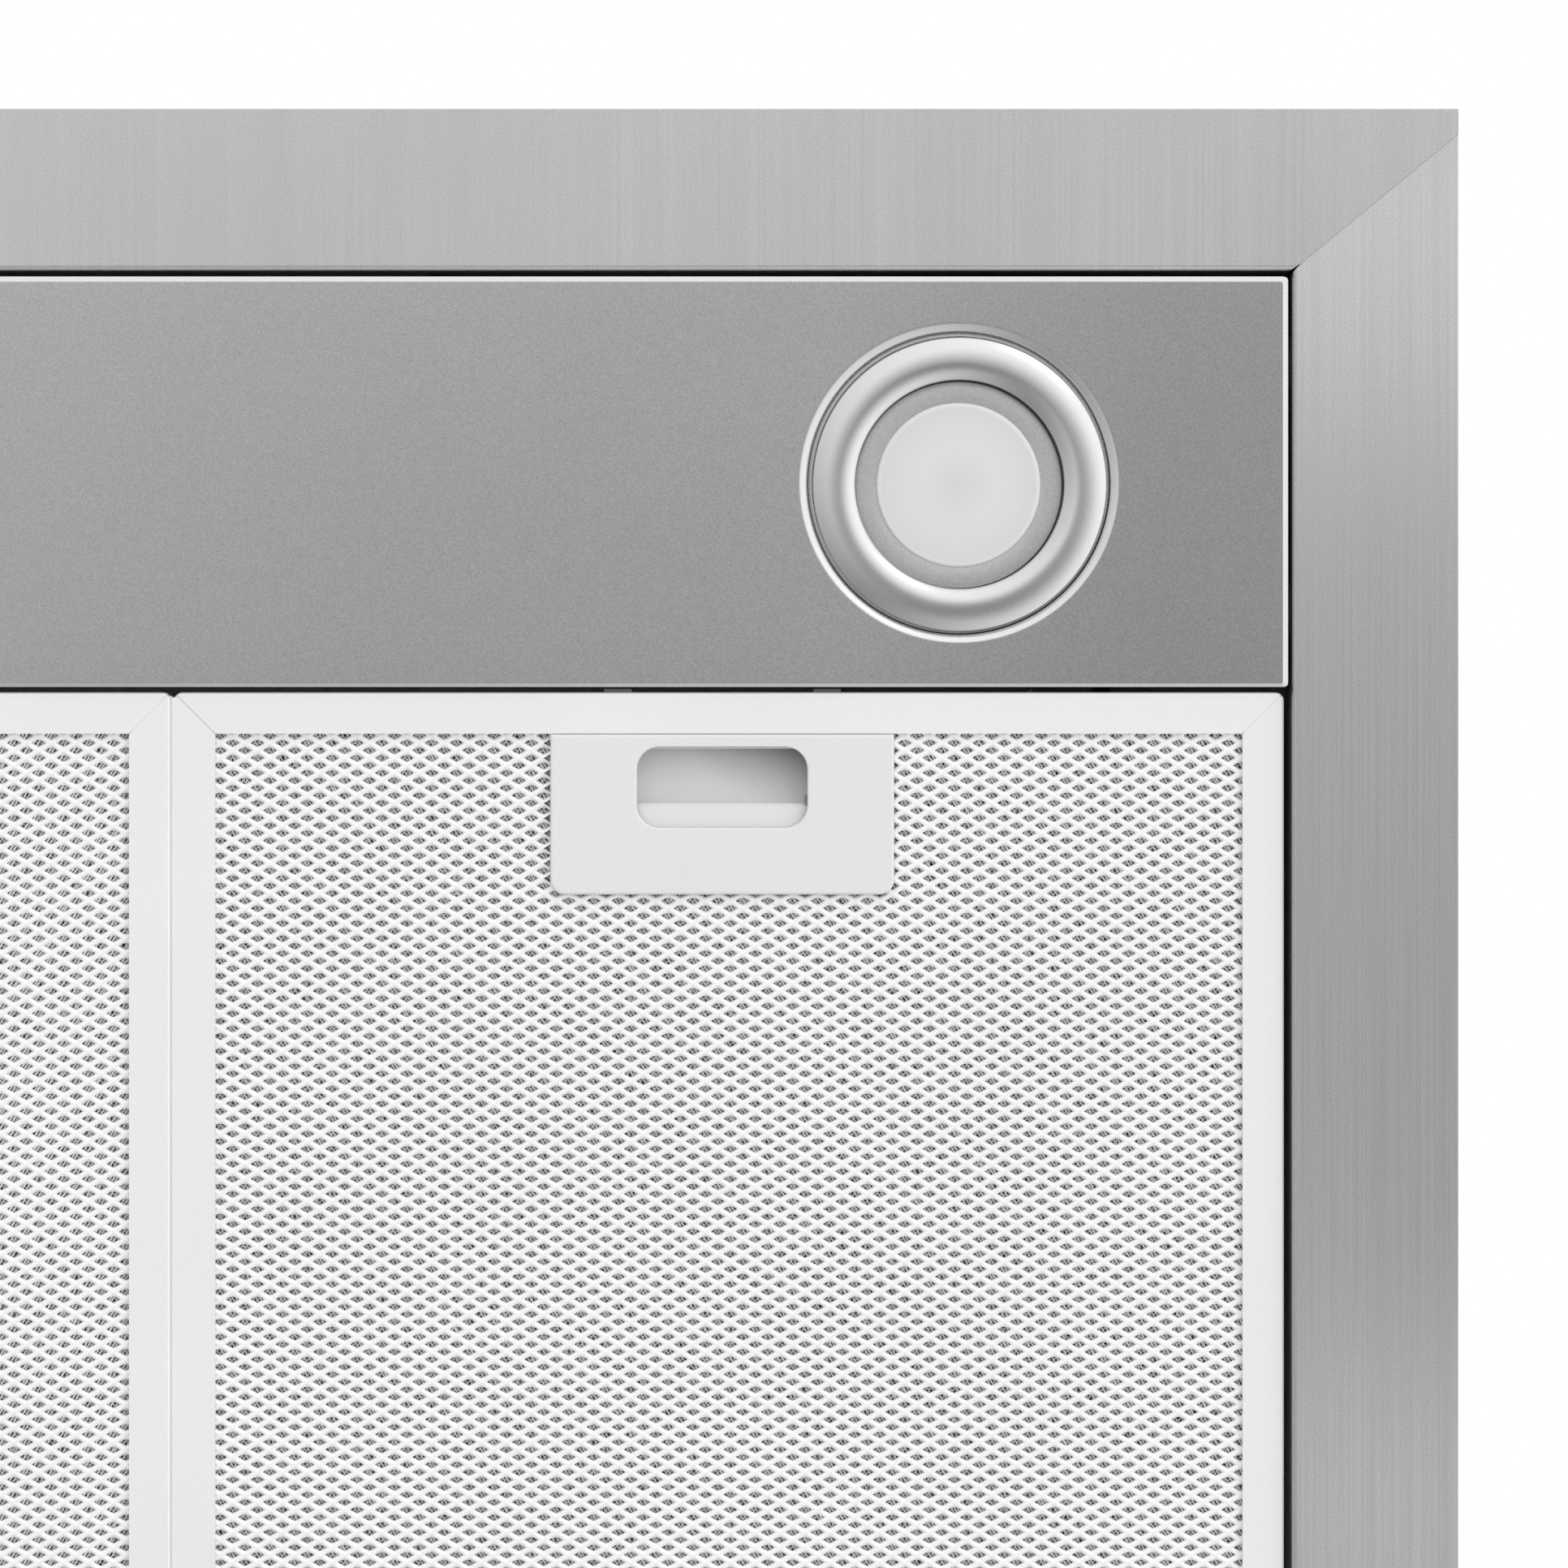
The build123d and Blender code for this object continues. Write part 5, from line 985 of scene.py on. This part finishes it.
# ------------------------------------------------------------------ latches
def latch_plate_piece(side, s):
    b = Build()
    cx, y0, y1, hw = LATCH_X, -344.32, -306.9, 40.15
    rings = []
    for k in range(6):
        a = math.radians(90 * k / 5)
        inset, h = 0.7 * (1 - math.sin(a)), 1.9 + 0.7 * (1 - math.cos(a))
        rings.append([(s * x, y, h) for x, y in rounded_rect(cx - hw + inset, cx + hw - inset, y0 + inset, y1 - inset, (0.3, 0.3, 3.4 - inset, 3.4 - inset), 8)])
    rings.append([(s * x, y, 3.3) for x, y in rounded_rect(cx - hw, cx + hw, y0, y1, (0.3, 0.3, 3.4, 3.4), 8)])
    ry, rw, rd, rr = -331.95, 19.9, 9.45, 5.3
    hole = []
    for k in range(6):
        a = math.radians(90 * k / 5)
        out, h = 0.55 * (1 - math.sin(a)), 1.9 + 0.55 * (1 - math.cos(a))
        hole.append([(s * x, y, h) for x, y in rounded_rect(cx - rw - out, cx + rw + out, ry - rd - 0.25 * out, ry + rd + out, rr + out, 8)])
    hole.append([(s * x, y, 3.3) for x, y in rounded_rect(cx - rw, cx + rw, ry - rd, ry + rd, rr, 8)])
    b.loops(rings)
    b.loops(hole)
    fill_between(b, [(x, y) for x, y, h in rings[0]], [[(x, y) for x, y, h in hole[0]]], 1.9)
    fill_between(b, [(x, y) for x, y, h in rings[-1]], [[(x, y) for x, y, h in hole[-1]]], 3.3)
    # the case behind the plate, with a slot for each tongue
    def wall(xa, xb, ya, yb, ha, hb):
        xa, xb = sorted((s * (cx + xa), s * (cx + xb)))
        b.box(xa, xb, ya, yb, ha, hb, 0.12)
    wall(-36.5, -35.2, -343.9, -310.9, 3.25, 10.2)
    wall(35.2, 36.5, -343.9, -310.9, 3.25, 10.2)
    wall(-35.25, 35.25, -312.2, -310.9, 3.25, 10.2)
    for xa, xb in ((-35.25, -28.15), (-20.95, 20.95), (28.15, 35.25)):
        wall(xa, xb, -343.9, -342.6, 3.25, 10.2)
    for t in (-24.55, 24.55):
        wall(t - 3.65, t + 3.65, -343.9, -342.6, 3.25, 5.5)
        wall(t - 3.65, t + 3.65, -343.9, -342.6, 8.9, 10.2)
    return make_object("latch_plate_piece_" + side, b.v, b.f, "filter_" + side, LATCH, ("latch_plate_" + side,), 40.0, merge=1e-6)


STOP = speckled("latch_stop", GREY(0.22), 0.45, 0.0, grain=2400.0, depth=0.05, bump_um=1.0)


def latch_stop_piece(side, s):
    """Small stop at the slider's outer end, just behind the plate."""
    b = Build()
    xa, xb = sorted((s * (LATCH_X + 19.15), s * (LATCH_X + 20.3)))
    b.box(xa, xb, -330.25, -328.3, 3.45, 5.3, 0.1)
    return make_object("latch_stop_" + side, b.v, b.f, "latch_" + side, STOP, (), 40.0)


for side, s in (("right", 1), ("left", -1)):
    latch_plate_piece(side, s)
    latch_stop_piece(side, s)
    refine("latch_slider_" + side, TRAY_PAINTED_SHADOW, bevel=0.22)
    refine("latch_cover_" + side, LATCH, bevel=0.3)
    spring = refine("latch_spring_" + side, SCREW, bevel=0.0)
    spring.modifiers.clear()
    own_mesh(spring)

# ------------------------------------------------------------------ the rest of the hood, edges eased
for node, mat, bev in (
    ("lower_chimney", STEEL_CHIMNEY, 0.2), ("upper_chimney", STEEL_CHIMNEY, 0.2), ("rear_rail", STEEL_REAR, 0.2), ("back_panel", ZINC, 0.25),
    ("top_plate", ZINC, 0.25), ("chimney_bracket", ZINC, 0.3), ("panel_straps", ZINC, 0.25), ("lamp_brackets", ZINC, 0.25), ("filter_hooks", ZINC, 0.15),
    ("blower_rails", ZINC, 0.25), ("blower_scroll", ZINC, 0.2), ("blower_sides", ZINC, 0.2), ("motor_bracket", ZINC, 0.3),
    ("bracket_screws", SCREW, 0.2), ("chimney_screws", SCREW, 0.2), ("blower_screws", SCREW, 0.3), ("damper_pins", SCREW, 0.2), ("motor_shaft", SCREW, 0.2),
    ("motor_bearings", SCREW, 0.3), ("lamp_holders", CERAMIC, 0.6), ("control_bezel", DARK, 0.2), ("switch_block", DARK, 0.3), ("impeller", DARK, 0.0),
    ("duct_collar", DARK, 0.3), ("damper_flap_front", DARK, 0.2), ("damper_flap_rear", DARK, 0.2), ("cable_gland", DARK, 0.4), ("leads", JACKET, 0.0),
    ("control_board", BOARD, 0.2), ("motor", MOTOR, 0.4), ("terminal_box", BOXPL, 0.3), ("terminal_cover", BOXPL, 0.4), ("motor_capacitor", BOXPL, 0.3),
    ("button_power", BUTTON, 0.15), ("button_speed_1", BUTTON, 0.15), ("button_speed_2", BUTTON, 0.15), ("button_speed_3", BUTTON, 0.15), ("button_light", BUTTON, 0.15),
):
    refine(node, mat, bevel=bev)


# ------------------------------------------------------------------ plain signs printed on the push buttons
def sign_strip(b, cx, ch, radius, a0, a1, width, steps):
    """A flat arc of print, standing a few hundredths of a millimetre off the button's face."""
    loops = []
    for i in range(steps + 1):
        a = math.radians(a0 + (a1 - a0) * i / steps)
        c, d = math.cos(a), math.sin(a)
        ring = []
        for r, y in ((radius - width / 2, -490.88), (radius - width / 2 + 0.04, -490.95), (radius + width / 2 - 0.04, -490.95), (radius + width / 2, -490.88)):
            ring.append((cx + r * c, y, ch + r * d))
        loops.append(ring)
    b.loops(loops, cap_first=True, cap_last=True)


def sign_bar(b, cx, ch, degrees, r0, r1, width):
    """A short straight bar of print that points away from the button's centre."""
    a = math.radians(degrees)
    c, d = math.cos(a), math.sin(a)
    loops = []
    for r in (r0, r1):
        ring = []
        for t, y in ((-width / 2, -490.88), (-width / 2 + 0.04, -490.95), (width / 2 - 0.04, -490.95), (width / 2, -490.88)):
            ring.append((cx + r * c - t * d, y, ch + r * d + t * c))
        loops.append(ring)
    b.loops(loops, cap_first=True, cap_last=True)


def sign_dot(b, cx, ch, radius):
    loops = []
    for r, y in ((radius, -490.88), (radius, -490.93), (radius - 0.04, -490.95)):
        loops.append([(cx + r * math.cos(2 * math.pi * i / 32), y, ch + r * math.sin(2 * math.pi * i / 32)) for i in range(32)])
    b.loops(loops, cap_first=True, cap_last=True)


def button_signs():
    for k, name in enumerate(("button_power", "button_speed_1", "button_speed_2", "button_speed_3", "button_light")):
        b = Build()
        x = BUTTON_X[k]
        if k == 0:
            sign_strip(b, x, BUTTON_H, 2.5, 125.0, 415.0, 0.55, 40)
            sign_bar(b, x, BUTTON_H, 90.0, 1.0, 3.3, 0.55)
        elif k == 4:
            sign_dot(b, x, BUTTON_H, 1.25)
            for i in range(8):
                sign_bar(b, x, BUTTON_H, 45.0 * i, 1.95, 3.2, 0.5)
        else:
            for i in range(k):
                sign_dot(b, x + 2.1 * (i - (k - 1) / 2), BUTTON_H, 0.72)
        make_object(name + "_sign", b.v, b.f, name, PRINT, (), 40.0)


button_signs()


# ------------------------------------------------------------------ stage, light, camera
def stage():
    me = bpy.data.meshes.new("floor")
    z, r = -1.75, 40.0
    me.from_pydata([(-r, -r, z), (r, -r, z), (r, r, z), (-r, r, z)], [], [(0, 1, 2, 3)])
    # painted glow: the floor's colour and emission brighten with distance, so it fades into the white backdrop
    m, nt, b = new_material("floor_painted_glow")
    geo = nt.nodes.new("ShaderNodeNewGeometry")
    away = nt.nodes.new("ShaderNodeVectorMath")
    away.operation = "LENGTH"
    nt.links.new(geo.outputs["Position"], away.inputs[0])
    painted_fade = nt.nodes.new("ShaderNodeMapRange")
    painted_fade.interpolation_type = "SMOOTHSTEP"
    for key, v in (("From Min", 2.5), ("From Max", 20.0), ("To Min", 0.88), ("To Max", 1.0)):
        painted_fade.inputs[key].default_value = v
    nt.links.new(away.outputs["Value"], painted_fade.inputs["Value"])
    nt.links.new(painted_fade.outputs["Result"], b.inputs["Base Color"])
    glow = nt.nodes.new("ShaderNodeMapRange")
    glow.interpolation_type = "SMOOTHSTEP"
    for key, v in (("From Min", 2.5), ("From Max", 20.0), ("To Min", 0.06), ("To Max", 0.18)):
        glow.inputs[key].default_value = v
    nt.links.new(away.outputs["Value"], glow.inputs["Value"])
    b.inputs["Emission Color"].default_value = (1, 1, 1, 1)
    nt.links.new(glow.outputs["Result"], b.inputs["Emission Strength"])
    m.cycles.emission_sampling = "NONE"
    b.inputs["Roughness"].default_value = 0.9
    b.inputs["Specular IOR Level"].default_value = 0.0
    me.materials.append(m)
    ob = bpy.data.objects.new("floor", me)
    bpy.context.scene.collection.objects.link(ob)
    # the hood is lit by the studio below it, so the floor only shows and takes shadow
    ob.visible_diffuse = False
    ob.visible_glossy = False
    ob.visible_transmission = False
    ob.visible_shadow = False


stage()


NADIR, SIDE_DARK, SIDE_BRIGHT = 0.42, 0.46, 1.80
LEVEL_DARK, LEVEL_BRIGHT, ZENITH = 0.52, 0.78, 0.95


def world():
    w = bpy.data.worlds.new("studio")
    bpy.context.scene.world = w
    w.use_nodes = True
    nt = w.node_tree
    nt.nodes.clear()
    out = nt.nodes.new("ShaderNodeOutputWorld")
    tc = nt.nodes.new("ShaderNodeTexCoord")
    sep = nt.nodes.new("ShaderNodeSeparateXYZ")
    nt.links.new(tc.outputs["Generated"], sep.inputs["Vector"])

    def math_node(op, a, b=None, clamp=False):
        m = nt.nodes.new("ShaderNodeMath")
        m.operation, m.use_clamp = op, clamp
        for k, v in enumerate((a, b)):
            if v is None:
                continue
            if isinstance(v, (int, float)):
                m.inputs[k].default_value = v
            else:
                nt.links.new(v, m.inputs[k])
        return m.outputs["Value"]

    def smooth(v, lo, hi, a, b):
        r = nt.nodes.new("ShaderNodeMapRange")
        r.interpolation_type = "SMOOTHSTEP"
        r.inputs["From Min"].default_value, r.inputs["From Max"].default_value = lo, hi
        r.inputs["To Min"].default_value, r.inputs["To Max"].default_value = a, b
        nt.links.new(v, r.inputs["Value"])
        return r.outputs["Result"]

    x, y, z = sep.outputs["X"], sep.outputs["Y"], sep.outputs["Z"]
    def mix(a, b, f):
        return math_node("ADD", a, math_node("MULTIPLY", f, math_node("SUBTRACT", b, a)))

    # darkest just behind straight below; from there it brightens outwards, most towards the front right, least towards the rear left
    px, py = math_node("SUBTRACT", x, 0.03), math_node("SUBTRACT", y, 0.18)
    off = math_node("MAXIMUM", math_node("SQRT", math_node("ADD", math_node("MULTIPLY", px, px), math_node("MULTIPLY", py, py))), 0.0001)
    t = math_node("ADD", math_node("DIVIDE", math_node("SUBTRACT", math_node("MULTIPLY", px, 0.3993), math_node("MULTIPLY", py, 0.3009)), off), 0.5, clamp=True)
    side = mix(SIDE_DARK, SIDE_BRIGHT, math_node("POWER", t, 0.7))
    far = math_node("ADD", math_node("MULTIPLY", t, 0.60), 0.36)
    q = math_node("DIVIDE", math_node("SUBTRACT", off, 0.04), far, clamp=True)
    ramp = math_node("MULTIPLY", math_node("MULTIPLY", q, q), math_node("SUBTRACT", 3.0, math_node("MULTIPLY", q, 2.0)))
    below = mix(NADIR, side, ramp)
    level_light = mix(mix(LEVEL_DARK, LEVEL_BRIGHT, t), ZENITH, smooth(z, 0.05, 0.75, 0.0, 1.0))
    value = mix(below, level_light, smooth(z, -0.42, -0.12, 0.0, 1.0))
    light = nt.nodes.new("ShaderNodeBackground")
    nt.links.new(value, light.inputs["Strength"])
    light.inputs["Color"].default_value = (1, 1, 1, 1)
    seen = nt.nodes.new("ShaderNodeBackground")
    seen.inputs["Color"].default_value = (1, 1, 1, 1)
    seen.inputs["Strength"].default_value = 1.0
    path = nt.nodes.new("ShaderNodeLightPath")
    mix = nt.nodes.new("ShaderNodeMixShader")
    nt.links.new(path.outputs["Is Camera Ray"], mix.inputs["Fac"])
    nt.links.new(light.outputs["Background"], mix.inputs[1])
    nt.links.new(seen.outputs["Background"], mix.inputs[2])
    nt.links.new(mix.outputs["Shader"], out.inputs["Surface"])


world()


def softbox(name, place, target, size, power, spread=None):
    d = bpy.data.lights.new(name, "AREA")
    d.shape = "RECTANGLE"
    d.size, d.size_y = size
    d.energy = power
    ob = bpy.data.objects.new(name, d)
    ob.location = place
    ob.rotation_mode = "QUATERNION"
    ob.rotation_quaternion = (Vector(target) - Vector(place)).to_track_quat("-Z", "Y")
    ob.visible_camera = False
    bpy.context.scene.collection.objects.link(ob)
    return ob


AIM = (0.12, -0.33, -0.13)
softbox("key_corner", (1.0, -1.7, -1.0), AIM, (0.8, 0.8), 0.8)
softbox("front_above", (-1.3, -2.4, 1.9), (0.0, -0.2, 0.1), (2.4, 2.4), 4.0)

scene = bpy.context.scene
scene.view_settings.view_transform = "Standard"
scene.view_settings.look = "None"
scene.view_settings.exposure = 0.0

D = 1.0
cam = bpy.data.cameras.new("camera")
cam.sensor_width = 36.0
cam.lens = 18.0 * D / 0.18262
cam.clip_start, cam.clip_end = 0.05, 100.0
camera = bpy.data.objects.new("camera", cam)
camera.location = (0.1429, -0.3327, -0.130 - D)
camera.rotation_euler = (math.pi, 0.0, 0.0)
scene.collection.objects.link(camera)
scene.camera = camera

bpy.context.view_layer.update()
